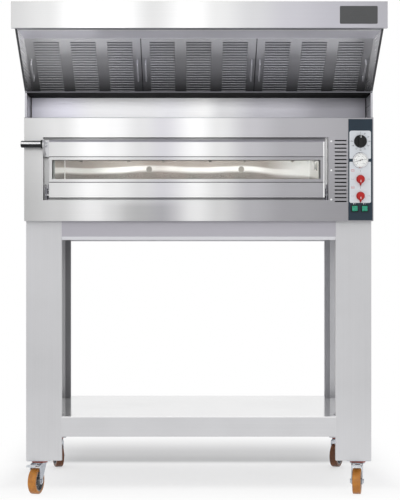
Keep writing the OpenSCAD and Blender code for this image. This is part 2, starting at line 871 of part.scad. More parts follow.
module control_bodies() {
    y0 = face_y + sheet;
    color("beige") for (z = [knob_z, upper_z, lower_z]) translate([knob_x, 0, deck_z + z]) {
        block([-body_w / 2, y0, -body_h / 2], [body_w / 2, y0 + body_d, body_h / 2]);
        bar_y(panel_y - 14, y0 + 1, 0, 0, shaft_r);
    }
}

module thermometer_case() {
    r = dial_dia / 2;
    color("silver") translate([knob_x, panel_y, deck_z + dial_z]) rotate([90, 0, 0]) {
        rotate_extrude() polygon([[0, -26], [dial_dia / 3 - rest, -26], [dial_dia / 3 - rest, 0],
            [r, 0], [r, dial_out - 2], [r - 2, dial_out], [r - 3, dial_out], [r - 4, 2], [0, 2]]);
        cylinder(h = dial_out - 1, r = dial_pin_r);
    }
}

module thermometer_needle() {
    l = dial_dia / 2 - 9;
    tail = 11;
    color("black") translate([knob_x, panel_y - 3, deck_z + dial_z]) rotate([90, 0, 0])
        difference() {
            linear_extrude(0.8) {
                circle(r = 2.8);
                rotate(needle_rest) polygon([[-1.5, -tail], [1.5, -tail], [1, 0],
                    [0.4, l], [-0.4, l], [-1, 0]]);
            }
            translate([0, 0, -1]) cylinder(h = 4, r = dial_pin_r + run);
        }
}

module switch_bezels() {
    wall = 1.1;
    o = switch_s / 2 + 2.8;
    a = switch_s / 2;
    color("black") for (side = [-1, 1])
        translate([switch_x + side * switch_step / 2, 0, deck_z + switch_z]) {
            difference() {
                union() {
                    block([-o, panel_y - bezel_out, -o], [o, panel_y, o]);
                    block([-a - wall, panel_y - 1, -a - wall], [a + wall, panel_y + 18, a + wall]);
                }
                block([-a, panel_y - bezel_out - 1, -a], [a, panel_y + 16, a]);
            }
            bar_x(-a - 1, a + 1, panel_y - 1, 0, 1);
        }
}

// Rocker about a pin just behind the bezel's face, tilted to its off position
module rocker(side) {
    r = switch_s / 2 - rest;
    x = switch_s / 2 - rest;
    color("seagreen") translate([switch_x + side * switch_step / 2, panel_y - 1, deck_z + switch_z])
        rotate([-rocker_tilt, 0, 0]) difference() {
            intersection() {
                bar_x(-x, x, 0, 0, r);
                along_x(-x, x) polygon([[-4, 0], [-5.2, r], [4, r], [4, -r], [-5.2, -r]]);
            }
            bar_x(-x - 1, x + 1, 0, 0, 1 + run);
        }
}

module left_switch() { rocker(-1); }
module right_switch() { rocker(1); }

module thermostat_knob() {
    r = knob_dia / 2;
    color("black") translate([knob_x, panel_y - knob_gap, deck_z + knob_z]) rotate([90, 0, 0])
        difference() {
            union() {
                cylinder(h = 7, r1 = r, r2 = r - 2);
                cylinder(h = 10, r = r - 7);
                intersection() {
                    cylinder(h = 20, r = r - 3);
                    translate([-6.5, -r, 0]) cube([13, 2 * r, 20]);
                }
            }
            translate([-1, r - 13, 18]) cube([2, 12, 3]);
            translate([0, 0, -1]) cylinder(h = 14, r = shaft_r + run);
        }
}

module heat_knob(z) {
    r = heat_dia / 2;
    pointer = 9.5;
    color("firebrick") translate([knob_x, panel_y - knob_gap, deck_z + z]) rotate([90, 0, 0])
        difference() {
            union() {
                linear_extrude(5) {
                    circle(r = r);
                    polygon([[-5, -r + 2], [-1.5, -r - pointer], [1.5, -r - pointer], [5, -r + 2]]);
                }
                cylinder(h = 15, r1 = r - 2, r2 = r - 3.5);
            }
            translate([-1, -r, 14]) cube([2, r - 3, 3]);
            translate([0, 0, -1]) cylinder(h = 14, r = shaft_r + run);
        }
}

module upper_heat_knob() { heat_knob(upper_z); }
module lower_heat_knob() { heat_knob(lower_z); }

// Hood

// Side view of the hood; inner draws it without the sheet at the top and the rear
module hood_profile(inner) {
    g = inner ? sheet : 0;
    f = inner ? 1 : 0;
    polygon([[cheek_y - f, deck_top - f], [cheek_y - f, cheek_z - f], [nose_y - f, fascia_z - f],
        [nose_y - f, hood_top - g], [hood_back - g, hood_top - g], [hood_back - g, deck_top - f]]);
}

module hood_canopy() {
    slope_l = norm([overhang + cheek_set, fascia_z - cheek_z]);
    lift = [fascia_z - cheek_z, overhang + cheek_set] * (sheet / slope_l);
    color("silver") {
        difference() {
            along_x(-half_w, half_w) hood_profile(false);
            along_x(-in_w, in_w) hood_profile(true);
            translate([0, collar_y, hood_top - sheet - 1]) cylinder(h = sheet + 2, r = collar_r + rest);
        }
        for (side = [0, 1]) mirror([side, 0, 0]) along_x(in_w - cheek_fold, in_w + eps) {
            polygon([[cheek_y, cheek_z], [nose_y, fascia_z], [nose_y, fascia_z] + lift,
                [cheek_y, cheek_z] + lift]);
            translate([cheek_y, deck_top]) square([sheet, tray_z - deck_top]);
        }
    }
}

module hood_fascia() {
    y0 = nose_y - fascia_d;
    x = half_w + fascia_over;
    color("gainsboro") {
        pan_y([-x, y0, fascia_z], [x, nose_y, hood_top]);
        w = in_w - cheek_fold - 1;
        block([-w, nose_y - 1, fascia_z], [w, nose_y + fascia_flange, fascia_z + sheet]);
    }
}

// Places children on the filters' slope: X across, Y up the slope, Z out of the front face
module on_slope() {
    translate([0, filter_y, filter_z]) rotate([180 - filter_tilt, 0, 0]) children();
}

// Channel that takes the filters' upper edges, and the sheet in front of it
module hood_soffit() {
    top = filter_l + 15;
    reach = filter_y - soffit_run * cos(filter_tilt);
    clear = sheet / tan(filter_tilt) + 2 * rest;
    color("silver") {
        block([-in_w, nose_y, soffit_z], [in_w, reach - clear, soffit_z + sheet]);
        on_slope() {
            translate([-in_w, soffit_run + 2, rest])
                cube([2 * in_w, top - soffit_run - 2 + sheet, sheet]);
            translate([-in_w, top, -filter_t - rest - sheet])
                cube([2 * in_w, sheet, filter_t + 2 * rest + 2 * sheet]);
            translate([-in_w, filter_l - 25, -filter_t - rest - sheet])
                cube([2 * in_w, top - filter_l + 25 + eps, sheet]);
        }
    }
}

module plinth_panel() {
    color("silver") {
        block([-in_w, plinth_y, deck_top], [in_w, plinth_y + sheet, tray_z]);
        block([-in_w, plinth_y, deck_top], [in_w, plinth_y + 20, deck_top + sheet]);
    }
}

module drip_tray() {
    color("silver") {
        block([-in_w, cheek_y, tray_z], [in_w, hood_back - sheet, tray_top]);
        block([-in_w, cheek_y, tray_z], [in_w, cheek_y + sheet, cheek_z]);
    }
}

// Labyrinth filter: louvred front sheet, staggered rear sheet, frame, two bow handles
module grease_filter(i) {
    w = filter_w - rest;
    step = column_w + column_gap;
    margin = (w - column_n * step + column_gap) / 2;
    x0 = -in_w + rest + i * filter_w;
    blade = louvre_pitch - louvre_s;
    rear_s = louvre_s - 2;   // the rear slots are lower and half a row down
    color("silver") on_slope() translate([x0, 0, 0]) {
        translate([0, 0, -1.2]) linear_extrude(1.2) louvre_sheet(w, margin, louvre_s, 0);
        translate([0, 0, -filter_t]) linear_extrude(1.2)
            louvre_sheet(w, margin, rear_s, louvre_pitch / 2 + 1);
        difference() {
            translate([0, 0, -filter_t]) cube([w, filter_l, filter_t]);
            translate([1.5, 1.5, -filter_t - 1]) cube([w - 3, filter_l - 3, filter_t + 2]);
        }
        for (c = [0:column_n - 1]) translate([margin + c * step, 0, 0])
            along_x(0.5, column_w - 0.5) for (k = [0:louvre_n - 1]) {
                s = louvre_top - (k + 1) * louvre_pitch;
                polygon([[s + 0.4, -0.6], [s + 0.4, 0.3], [s + blade + 3.4, 4], [s + blade + 4, 3.2],
                    [s + blade - 0.4, 0], [s + blade - 0.4, -0.6]]);
            }
        for (x = [16, w - 16]) translate([x, filter_l * 0.52 - bow_l / 2, rest]) bow();
    }
}

// Front or rear sheet of a filter, with slots of height s moved down by shift
module louvre_sheet(w, margin, s, shift) {
    difference() {
        square([w, filter_l]);
        for (c = [0:column_n - 1], k = [0:louvre_n - 1])
            translate([margin + c * (column_w + column_gap), louvre_top - k * louvre_pitch - s - shift])
                square([column_w, s]);
    }
}

// Wire handle lying on the filter, from its two welded feet
module bow() {
    rotate([-90, 0, 0]) {
        for (y = [wire_r, bow_l - wire_r]) translate([0, 0, y]) rotate([90, 0, 0])
            cylinder(h = bow_out, r = wire_r);
        translate([0, -bow_out, wire_r]) cylinder(h = bow_l - 2 * wire_r, r = wire_r);
        for (y = [wire_r, bow_l - wire_r]) translate([0, -bow_out, y]) sphere(r = wire_r);
    }
}

module left_filter() { grease_filter(0); }
module middle_filter() { grease_filter(1); }
module right_filter() { grease_filter(2); }

// Exhaust collar with its mounting flange under the hood's top sheet, and a narrower neck
// below the duct's seat
module exhaust_collar() {
    low = hood_top - sheet - 2;
    seat_z = hood_top + 4;
    neck_r = collar_r - 1;
    color("lightgray") translate([0, collar_y, 0])
        rotate_extrude() polygon([[neck_r - collar_t, low], [collar_r + 22, low],
            [collar_r + 22, hood_top - sheet], [neck_r, hood_top - sheet], [neck_r, seat_z],
            [collar_r, seat_z], [collar_r, hood_top + collar_h],
            [collar_r - collar_t, hood_top + collar_h], [collar_r - collar_t, seat_z - 1],
            [neck_r - collar_t, seat_z - 1]]);
}

front_left_leg();
front_right_leg();
rear_left_leg();
rear_right_leg();
front_apron();
side_aprons();
rear_apron();
shelf();
castor_plates();
fork(0, true);  // fork_front_left
fork(1, true);  // fork_front_right
fork(2, false);  // fork_rear_left
fork(3, false);  // fork_rear_right
hub(0);  // hub_front_left
hub(1);  // hub_front_right
hub(2);  // hub_rear_left
hub(3);  // hub_rear_right
tread(0);  // tread_front_left
tread(1);  // tread_front_right
tread(2);  // tread_rear_left
tread(3);  // tread_rear_right
brake_pedal(0);  // brake_pedal_left
brake_pedal(1);  // brake_pedal_right
front_panel();
top_cover();
side_panels();
rear_cover();
base_tray();
chamber();
refractory_slabs();
insulation();
upper_elements();
lower_elements();
chamber_lamp();
hinge_brackets();
cable_gland();
control_panel();
control_bodies();
thermometer_case();
switch_bezels();
thermostat_knob();
upper_heat_knob();
lower_heat_knob();
left_switch();
right_switch();
thermometer_needle();
door_skin();
door_inner_panel();
door_glass();
grip_bracket();
door_grip();
hood_canopy();
hood_fascia();
hood_soffit();
plinth_panel();
drip_tray();
left_filter();
middle_filter();
right_filter();
exhaust_collar();
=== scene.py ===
"""Looks of the pizza oven: finish of every surface, small trim, floor, light and camera. Metres."""
import math

import bmesh
import bpy
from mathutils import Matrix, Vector


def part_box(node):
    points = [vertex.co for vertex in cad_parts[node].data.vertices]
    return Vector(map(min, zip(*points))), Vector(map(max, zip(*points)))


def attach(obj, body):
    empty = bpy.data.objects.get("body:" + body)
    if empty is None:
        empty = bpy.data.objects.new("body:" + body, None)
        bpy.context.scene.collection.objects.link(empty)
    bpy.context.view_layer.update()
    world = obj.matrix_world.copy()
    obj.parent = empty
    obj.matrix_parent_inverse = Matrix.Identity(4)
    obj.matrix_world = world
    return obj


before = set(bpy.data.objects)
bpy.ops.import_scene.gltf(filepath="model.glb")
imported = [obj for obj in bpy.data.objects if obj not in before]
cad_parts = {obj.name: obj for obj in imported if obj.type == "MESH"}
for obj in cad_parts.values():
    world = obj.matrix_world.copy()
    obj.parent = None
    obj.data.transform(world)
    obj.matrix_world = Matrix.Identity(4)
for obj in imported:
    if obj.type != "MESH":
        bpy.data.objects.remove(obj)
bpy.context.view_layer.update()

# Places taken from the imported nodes
panel_lo, panel_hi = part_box("control_panel")
front_lo, front_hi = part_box("front_panel")
fascia_lo, fascia_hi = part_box("hood_fascia")
face_y = front_lo.y
panel_y = panel_lo.y
deck_z = front_lo.z
deck_top = front_hi.z
door_lo, door_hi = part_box("door_skin")
chamber_lo, chamber_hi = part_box("chamber")
tray_lo, tray_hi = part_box("drip_tray")
filter_lo, filter_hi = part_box("middle_filter")
plinth_lo, plinth_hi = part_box("plinth_panel")
grip_lo, grip_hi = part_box("door_grip")
apron_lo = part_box("front_apron")[0]
shelf_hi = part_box("shelf")[1]
CORNERS = ("front_left", "front_right", "rear_left", "rear_right")


def middle(node):
    """Centre of a CAD node's box"""
    low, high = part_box(node)
    return (low + high) / 2


def half_size(node):
    """Half of a CAD node's box, as a vector"""
    low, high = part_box(node)
    return (high - low) / 2


def placed(name, data):
    """A new object in the scene"""
    made = bpy.data.objects.new(name, data)
    bpy.context.scene.collection.objects.link(made)
    return made


# Camera: level, in front of the object, a little to the left of its middle
CAMERA_AT = (-0.034, -5.6975, 0.951)
CAMERA_LENS = 100.6
CAMERA_SHIFT = 0.02


def make_camera():
    """Adds the camera"""
    data = bpy.data.cameras.new("camera")
    camera = placed("camera", data)
    camera.location = CAMERA_AT
    camera.rotation_euler = (math.radians(90), 0, 0)
    data.lens = CAMERA_LENS
    data.shift_x = CAMERA_SHIFT
    bpy.context.scene.camera = camera


make_camera()


# Materials

def linear(hex_code):
    """A colour written as six hex digits, as linear red, green, blue, alpha"""
    parts = [int(hex_code[i:i + 2], 16) / 255 for i in (0, 2, 4)]
    return [p / 12.92 if p <= 0.04045 else ((p + 0.055) / 1.055) ** 2.4 for p in parts] + [1.0]


def shifted(hex_code, factor, lift=0.0):
    """A colour made darker or paler"""
    return [min(1.0, c * factor + lift) for c in linear(hex_code)[:3]] + [1.0]


def as_colour(value):
    """Linear colour from six hex digits or a grey level; a linear colour stays as it is"""
    if isinstance(value, str):
        return linear(value)
    return [value] * 3 + [1.0] if isinstance(value, (int, float)) else value


class Tree:
    """A node tree and short calls for the nodes in it"""

    def __init__(self, tree, place):
        """The place is the kind of coordinates that the tree goes by"""
        self.nodes = tree.nodes
        self.links = tree.links
        self.place = self.nodes.new("ShaderNodeTexCoord").outputs[place]

    def put(self, value, socket):
        """Joins an output to a socket, or writes a constant there"""
        if isinstance(value, bpy.types.NodeSocket):
            self.links.new(value, socket)
        else:
            socket.default_value = as_colour(value) if socket.type == "RGBA" else value

    def add(self, kind, output=0, values=(), settings=None, **inputs):
        """A node with its settings, first inputs and named inputs; returns the output asked for"""
        made = self.nodes.new("ShaderNode" + kind)
        for name, value in (settings or {}).items():
            setattr(made, name, value)
        for value, socket in zip(values, made.inputs):
            self.put(value, socket)
        for name, value in inputs.items():
            self.put(value, made.inputs[name.replace("_", " ")])
        return made.outputs[output]

    def math(self, operation, first, second=0.0, clamp=False):
        """Result of an operation on two values"""
        return self.add("Math", 0, (first, second), {"operation": operation, "use_clamp": clamp})

    def times(self, first, second):
        """Product of two values"""
        return self.math("MULTIPLY", first, second)

    def dot(self, first, second):
        """Dot product of two vectors"""
        return self.add("VectorMath", "Value", (first, second), {"operation": "DOT_PRODUCT"})

    def scaled(self, x, y, z):
        """The place on the object, stretched along each axis"""
        return self.add("Mapping", Vector=self.place, Scale=(x, y, z))

    def noise(self, scale, detail=3.0, rough=0.5, source=None):
        """Cloudy value around a half"""
        return self.add("TexNoise", Vector=source or self.place, Scale=scale, Detail=detail,
                        Roughness=rough)

    def brush(self, direction):
        """Fine streaks along one axis, as brushing leaves them"""
        return self.noise(1.0, 2.0, 0.6, self.scaled(*GRAIN[direction]))

    def remap(self, value, low, high, to_low=0.0, to_high=1.0):
        """A value's place between two limits, carried over to two others"""
        return self.add("MapRange", Value=value, From_Min=low, From_Max=high, To_Min=to_low,
                        To_Max=to_high)

    def ramp(self, value, stops, interpolation="LINEAR"):
        """Colour by value; stops are (value, colour), where a number is a grey"""
        made = self.nodes.new("ShaderNodeValToRGB")
        made.color_ramp.interpolation = interpolation
        elements = made.color_ramp.elements
        while len(elements) < len(stops):
            elements.new(0.5)
        for element, (position, colour) in zip(elements, stops):
            element.position = position
            element.color = as_colour(colour)
        self.put(value, made.inputs[0])
        return made.outputs[0]

    def mix(self, factor, first, second, blend="MIX"):
        """First colour at 0, second at 1"""
        made = self.nodes.new("ShaderNodeMix")
        made.data_type = "RGBA"
        made.blend_type = blend
        self.put(factor, made.inputs[0])
        self.put(first, made.inputs[6])
        self.put(second, made.inputs[7])
        return made.outputs[2]

    def dimmed(self, colour, level):
        """A colour times a level"""
        shade = self.add("CombineColor", Red=level, Green=level, Blue=level)
        return self.mix(1.0, colour, shade, "MULTIPLY")

    def axis(self, name):
        """One coordinate of the place on the object"""
        return self.add("SeparateXYZ", output="XYZ".index(name), Vector=self.place)

    def reach(self, point, direction):
        """How far the place lies past a point along a direction, in metres"""
        along = self.dot(self.place, direction)
        return self.math("SUBTRACT", along, sum(p * d for p, d in zip(point, direction)))

    def between(self, value, low, high):
        """1 where the value lies between two limits"""
        return self.times(self.math("GREATER_THAN", value, low),
                         self.math("LESS_THAN", value, high))

    def blend(self, factor, first, second, output):
        """Shows the first shader at 0 and the second at 1"""
        either = self.add("MixShader", 0, (factor, first, second))
        self.put(either, self.nodes[output].inputs["Surface"])


class Finish(Tree):
    """A surface material and its shader"""

    def __init__(self, name, **constants):
        """Constants are socket names with their spaces as low lines"""
        self.material = bpy.data.materials.new(name)
        self.material.use_nodes = True
        super().__init__(self.material.node_tree, "Object")
        self.shader = self.nodes["Principled BSDF"]
        for socket, value in constants.items():
            self.put(value, self.shader.inputs[socket.replace("_", " ")])

    def edge(self, radius):
        """1 along the piece's edges and 0 on its faces, and the softened normal"""
        soft = self.add("Bevel", settings={"samples": 4}, Radius=radius)
        true = self.add("NewGeometry", output="Normal")
        return self.remap(self.dot(soft, true), 0.98, 0.8), soft

    def bump(self, height, strength, distance, normal=None):
        """Makes the shader's normal follow a height"""
        inputs = {"Height": height, "Strength": strength, "Distance": distance}
        if normal is not None:
            inputs["Normal"] = normal
        self.put(self.add("Bump", **inputs), self.shader.inputs["Normal"])

    def colour(self, source):
        """Sets the base colour"""
        self.put(source, self.shader.inputs["Base Color"])

    def roughness(self, source):
        """Sets the roughness"""
        self.put(source, self.shader.inputs["Roughness"])


GRAIN_ALONG = 1.5      # streaks to a metre along the brushing, and across it
GRAIN_ACROSS = 420
GRAIN = {
    "x": (GRAIN_ALONG, GRAIN_ACROSS, GRAIN_ACROSS),
    "y": (GRAIN_ACROSS, GRAIN_ALONG, GRAIN_ACROSS),
    "z": (GRAIN_ACROSS, GRAIN_ACROSS, GRAIN_ALONG),
}
REFLECTION_SPAN = 0.7       # half of the width that the painted reflection bands cover
FAR = 3.0              # further than any place on the object


def below(axis, limit):
    """Limits of a zone that ends at a place on an axis"""
    return axis, -FAR, limit


def above(axis, limit):
    """Limits of a zone that starts at a place on an axis"""
    return axis, limit, FAR


def sheen_ramp(f, stops):
    """Painted reflection: soft light and dark bands across brushed sheet, by its X place in metres"""
    share = f.remap(f.axis("X"), -REFLECTION_SPAN, REFLECTION_SPAN)
    places = [((x + REFLECTION_SPAN) / (2 * REFLECTION_SPAN), code) for x, code in stops]
    return f.ramp(share, places, "EASE")


def inside(f, limits):
    """1 where the place lies within every (axis, low, high); an axis may be a point and a direction"""
    mask = None
    for axis, low, high in limits:
        here = f.between(f.axis(axis) if isinstance(axis, str) else f.reach(*axis), low, high)
        mask = here if mask is None else f.times(mask, here)
    return mask


def tint(f, colour):
    """A colour, or one that changes with height: (low Z, high Z, colour at low, colour at high)"""
    if isinstance(colour, str):
        return colour
    low, high, first, second = colour
    return f.mix(f.remap(f.axis("Z"), low, high), first, second)


def steel(name, base, rough, grain="x", reflection_bands=None, metal=0.85, edge_wear_and_highlight_level=0.5, fade=None, patches=(),
          zones=()):
    """Brushed stainless sheet: grain, cloudy finish, edges painted lighter, partly as wear and partly as a
    painted highlight, and, where asked, painted reflection bands, a fade of painted light and shade
    along one axis (axis, low, high, level at low, level at high), soft patches of painted shade, each
    (middle X, half width, high Z, level), and zones, most of them painted light and shade. Each zone
    is its limits, a colour, or None to keep the sheet's, and a roughness; the colour may change with
    height, as tint says"""
    f = Finish(name, Metallic=metal, IOR=1.6)
    brushed = f.brush(grain)
    cloud = f.noise(3.2, 4.0, 0.55)
    ground = sheen_ramp(f, reflection_bands) if reflection_bands else base
    streak = f.remap(brushed, 0.3, 0.7, 0.978, 1.02)
    drift = f.remap(cloud, 0.3, 0.7, 0.95, 1.025)
    shade = f.times(streak, drift)
    if fade:
        shade = f.times(shade, f.remap(f.axis(fade[0]), *fade[1:]))
    for middle_x, half, high_z, patch_level in patches:
        away = f.math("ABSOLUTE", f.math("SUBTRACT", f.axis("X"), middle_x))
        near = f.times(f.remap(away, 0.4 * half, half, 1.0, 0.0),
                      f.remap(f.axis("Z"), high_z - 0.03, high_z, 1.0, 0.0))
        shade = f.times(shade, f.remap(near, 0.0, 1.0, 1.0, patch_level))
    level = rough
    for limits, colour, zone_rough in zones:
        mask = inside(f, limits)
        if colour:
            ground = f.mix(mask, ground, tint(f, colour))
        level = f.math("ADD", f.times(mask, zone_rough - rough), level)
    # edges painted lighter: partly wear, partly a painted highlight
    edge_wear_and_highlight, soft = f.edge(0.0012)
    bright = f.times(edge_wear_and_highlight, edge_wear_and_highlight_level)
    f.colour(f.mix(bright, f.dimmed(ground, shade), "f4f4f6"))
    uneven = f.math("ADD", f.remap(cloud, 0.25, 0.75, -0.04, 0.05), level)
    f.roughness(f.math("ADD", uneven, f.remap(brushed, 0.2, 0.8, -0.03, 0.03), True))
    f.bump(brushed, 0.08, 0.0001, soft)
    return f.material


def plastic(name, base, rough, edge_wear_and_highlight_colour=None, variation=0.08):
    """Moulded plastic or lacquer with a fine grain and edges painted paler, partly as wear and partly as a
    painted highlight
    """
    f = Finish(name, Metallic=0.0, IOR=1.48)
    cloud = f.noise(22.0)
    grain = f.noise(900, 2.0)
    toned = f.mix(f.remap(cloud, 0.3, 0.7), shifted(base, 1 - variation), base)
    edge_wear_and_highlight, soft = f.edge(0.0008)
    lighter = edge_wear_and_highlight_colour or shifted(base, 1.6, 0.02)
    f.colour(f.mix(f.times(edge_wear_and_highlight, 0.4), toned, lighter))
    f.roughness(f.remap(grain, 0.2, 0.8, rough - 0.05, rough + 0.08))
    f.bump(grain, 0.1, 0.0001, soft)
    return f.material


def plated(name, base, rough, mottle=0.12, metal=1.0):
    """Zinc or chrome plate: mottled, with edges painted bright, partly as wear and partly as a painted
    highlight
    """
    f = Finish(name, Metallic=metal)
    spangle = f.add("TexVoronoi", output="Color", Vector=f.place, Scale=180.0)
    tone = f.add("RGBToBW", Color=spangle)
    cloud = f.noise(60.0, 4.0)
    shade = f.math("ADD", f.remap(tone, 0.0, 1.0, 1 - mottle, 1.0), f.remap(cloud, 0.3, 0.7, -mottle, 0.0))
    edge_wear_and_highlight, soft = f.edge(0.0008)
    f.colour(f.mix(f.times(edge_wear_and_highlight, 0.6), f.dimmed(base, shade), "ffffff"))
    f.roughness(f.remap(cloud, 0.25, 0.75, rough - 0.06, rough + 0.1))
    f.bump(cloud, 0.08, 0.0002, soft)
    return f.material


# Painted reflection bands across the sheets: X place and colour
DECK_REFLECTION = ((-0.69, "c9c9c9"), (-0.54, "dcdcdc"), (-0.42, "fbfbfb"), (-0.33, "f1f1f1"),
              (-0.22, "dadadb"), (-0.14, "d2d1d6"), (-0.01, "f6f6f6"), (0.08, "dedede"),
              (0.2, "bcbbbf"), (0.34, "aaa9ad"), (0.69, "a2a1a5"))
FASCIA_REFLECTION = ((-0.69, "cccccc"), (-0.56, "dadada"), (-0.44, "fcfcfc"), (-0.3, "fafafa"),
                (-0.17, "d6d6d6"), (-0.03, "f4f4f4"), (0.07, "dcdcdc"), (0.2, "cacacc"),
                (0.33, "bebdc3"), (0.5, "b4b3ba"), (0.69, "adacb2"))
PLINTH_REFLECTION = ((-0.69, "dcdbe6"), (-0.54, "e4e3ee"), (-0.4, "eaeaec"), (-0.22, "e6e6e8"),
                (-0.12, "e6e6ea"), (0.02, "f4f4f4"), (0.1, "d6d6d8"), (0.25, "b8b7be"),
                (0.69, "acabb3"))
FILTER_REFLECTION = ((-0.69, "f6f6f8"), (-0.4, "f0f0f4"), (-0.22, "dcdce2"), (-0.05, "d4d4d8"),
                (0.25, "d8d8de"), (0.69, "ececf0"))


# The filters' slope: its angle to the floor, the ways up it and out of it, and its lower end
SLOPE = math.radians(31.5)
SLOPE_UP = (0.0, -math.cos(SLOPE), math.sin(SLOPE))
SLOPE_OUT = (0.0, -math.sin(SLOPE), -math.cos(SLOPE))
FILTER_DEPTH = 0.025
SLOPE_FOOT = (0.0, filter_hi.y - FILTER_DEPTH * math.sin(SLOPE), filter_lo.z)
FILTER_REACH = 0.388
SEAM_X = (0.2224, 0.2262)    # gap between two filters, on either side of the middle
BLADE_OUT = (0.0006, 0.006)  # how far the louvres stand out of the filter's sheet
HANDLE_OUT = 0.0065          # what stands out further is a handle
BACK_IN = 0.0016             # what lies deeper is behind the sheet
# Painted shade and highlight by the share of the way up the slope: darker towards the tray, the louvres
# lighter than the sheet
SHEET_LEVELS = ((0.0, 0.12), (0.15, 0.27), (0.28, 0.57), (0.45, 0.65), (0.7, 0.58), (0.86, 0.68),
                (1.0, 0.75))
BLADE_LEVELS = ((0.0, 0.22), (0.15, 0.52), (0.3, 0.82), (0.6, 0.96), (1.0, 1.0))


# Slanted front edge of the hood's sides: its lower end, and the way across it
EDGE_FOOT = Vector((0.0, face_y + 0.022, tray_hi.z))
EDGE_TOP = Vector((0.0, fascia_lo.y + 0.018, fascia_lo.z))
HOOD_EDGE = (tuple(EDGE_FOOT), tuple((EDGE_TOP - EDGE_FOOT).normalized().cross(Vector((-1, 0, 0)))))
HOOD_WALL = (0.0135, 0.0145)    # band that holds the inner face of the hood's sides
# painted shade at the foot of the hood's inner walls, turning to painted light towards the top
WALL_PAINTED_LIGHT = (tray_hi.z + 0.01, tray_hi.z + 0.13, "4c4c50", "ffffff")


def filter_steel():
    """Filter sheet with painted shade that darkens it towards the tray, painted highlights on the louvre
    edges low down, painted shade in the seams between the filters and wire handles painted brightest as a
    highlight"""
    f = Finish("filter_brushed", Metallic=0.6, IOR=1.6)
    brushed = f.brush("x")
    cloud = f.noise(3.2, 4.0, 0.55)
    up = f.math("DIVIDE", f.reach(SLOPE_FOOT, SLOPE_UP), FILTER_REACH)
    out = f.reach(SLOPE_FOOT, SLOPE_OUT)
    sheet = f.ramp(up, SHEET_LEVELS)
    blade = f.ramp(up, BLADE_LEVELS)
    level = f.mix(f.between(out, *BLADE_OUT), sheet, blade)
    level = f.mix(f.math("LESS_THAN", out, -BACK_IN), level, 0.8)
    # painted shade in the seams between the filters, painted highlight on the handles
    level = f.mix(f.between(f.math("ABSOLUTE", f.axis("X")), *SEAM_X), level, 0.12)
    level = f.mix(f.math("GREATER_THAN", out, HANDLE_OUT), level, 1.0)
    toned = f.mix(1.0, sheen_ramp(f, FILTER_REFLECTION), level, "MULTIPLY")
    streak = f.remap(brushed, 0.3, 0.7, 0.975, 1.02)
    drift = f.remap(cloud, 0.3, 0.7, 0.95, 1.03)
    f.colour(f.dimmed(toned, f.times(streak, drift)))
    uneven = f.remap(cloud, 0.25, 0.75, 0.34, 0.43)
    f.roughness(f.math("ADD", uneven, f.remap(brushed, 0.2, 0.8, -0.03, 0.03)))
    f.bump(brushed, 0.08, 0.0001)
    return f.material


BAND_SLOPE = 0.065     # fall of the painted reflection band towards the door
# painted reflection on the chamber walls: heights of the band, and its colours from below to above
BAND_Z = (deck_z + 0.189, deck_z + 0.289)
BAND_STOPS = ((0.0, "5f5c57"), (0.3, "6f6a65"), (0.47, "ffffff"), (0.57, "ffffff"), (0.66, "a39b95"),
              (1.0, "a69c96"))
PALE_X = (0.3, 0.44)   # where the chamber's right end turns pale with painted light
DIM_X = (-0.59, -0.2)  # where its left end gets less light and a lighter tone makes up for it


def chamber_steel():
    """Chamber sheet: heat-tinted steel with a wavy painted reflection along the middle of its height, a
    painted highlight in its left rear corner and painted light at its right end
    """
    f = Finish("chamber_wall", Metallic=0.7, IOR=1.6)
    brushed = f.brush("x")
    wave = f.add("TexNoise", Vector=f.scaled(2.6, 0.2, 0.2), Scale=1.0, Detail=1.0)
    lift = f.remap(wave, 0.3, 0.7, -0.012, 0.016)
    rear = chamber_hi.y - 0.002
    fall = f.remap(f.axis("Y"), rear - 0.8, rear, 0.8 * BAND_SLOPE, 0.0)
    height = f.math("ADD", f.axis("Z"), f.math("ADD", lift, fall))
    share = f.remap(height, *BAND_Z)
    ground = f.ramp(share, BAND_STOPS, "EASE")
    stain = f.noise(5.0)
    stain_and_painted_light = f.mix(f.remap(stain, 0.45, 0.7, 0.0, 0.3), ground, "b9a29a")
    caps = inside(f, (("Y", rear - 0.0036, rear - 0.0005), ("Z", deck_z + 0.2, deck_z + 0.27)))
    stain_and_painted_light = f.mix(caps, stain_and_painted_light, "8a8580")
    # painted highlight in the chamber's left rear corner
    corner_highlight = inside(f, (("X", chamber_lo.x, chamber_lo.x + 0.0065), ("Y", rear - 0.001, rear + 0.001)))
    stain_and_painted_light = f.mix(corner_highlight, stain_and_painted_light, "ffffff")
    across = f.axis("X")
    pale = f.times(f.remap(across, *PALE_X), f.remap(share, 0.2, 0.4))
    stain_and_painted_light = f.mix(pale, stain_and_painted_light, "ffffff")
    streak = f.remap(brushed, 0.3, 0.7, 0.97, 1.03)
    f.colour(f.dimmed(stain_and_painted_light, f.times(streak, f.remap(across, *DIM_X, 1.28, 1.0))))
    f.roughness(f.remap(stain, 0.3, 0.7, 0.32, 0.5))
    f.bump(brushed, 0.15, 0.0002)
    return f.material


def refractory():
    """Pressed refractory stone: pale, pitted, with toasted patches"""
    f = Finish("refractory_stone", Metallic=0.0)
    pores = f.add("TexVoronoi", Vector=f.place, Scale=420.0)
    cloud = f.noise(9.0, 5.0, 0.6)
    grit = f.noise(300.0)
    ground = f.ramp(cloud, ((0.3, "a9a090"), (0.5, "bfb7a8"), (0.72, "ccc5b8")))
    toasted = f.mix(f.remap(f.noise(4.0), 0.55, 0.75, 0.0, 0.5), ground, "857664")
    f.colour(f.mix(f.remap(grit, 0.3, 0.8, 0.0, 0.25), toasted, "e6e0d6"))
    f.roughness(f.remap(grit, 0.2, 0.8, 0.8, 0.95))
    f.bump(f.math("ADD", pores, grit), 0.4, 0.0005)
    return f.material


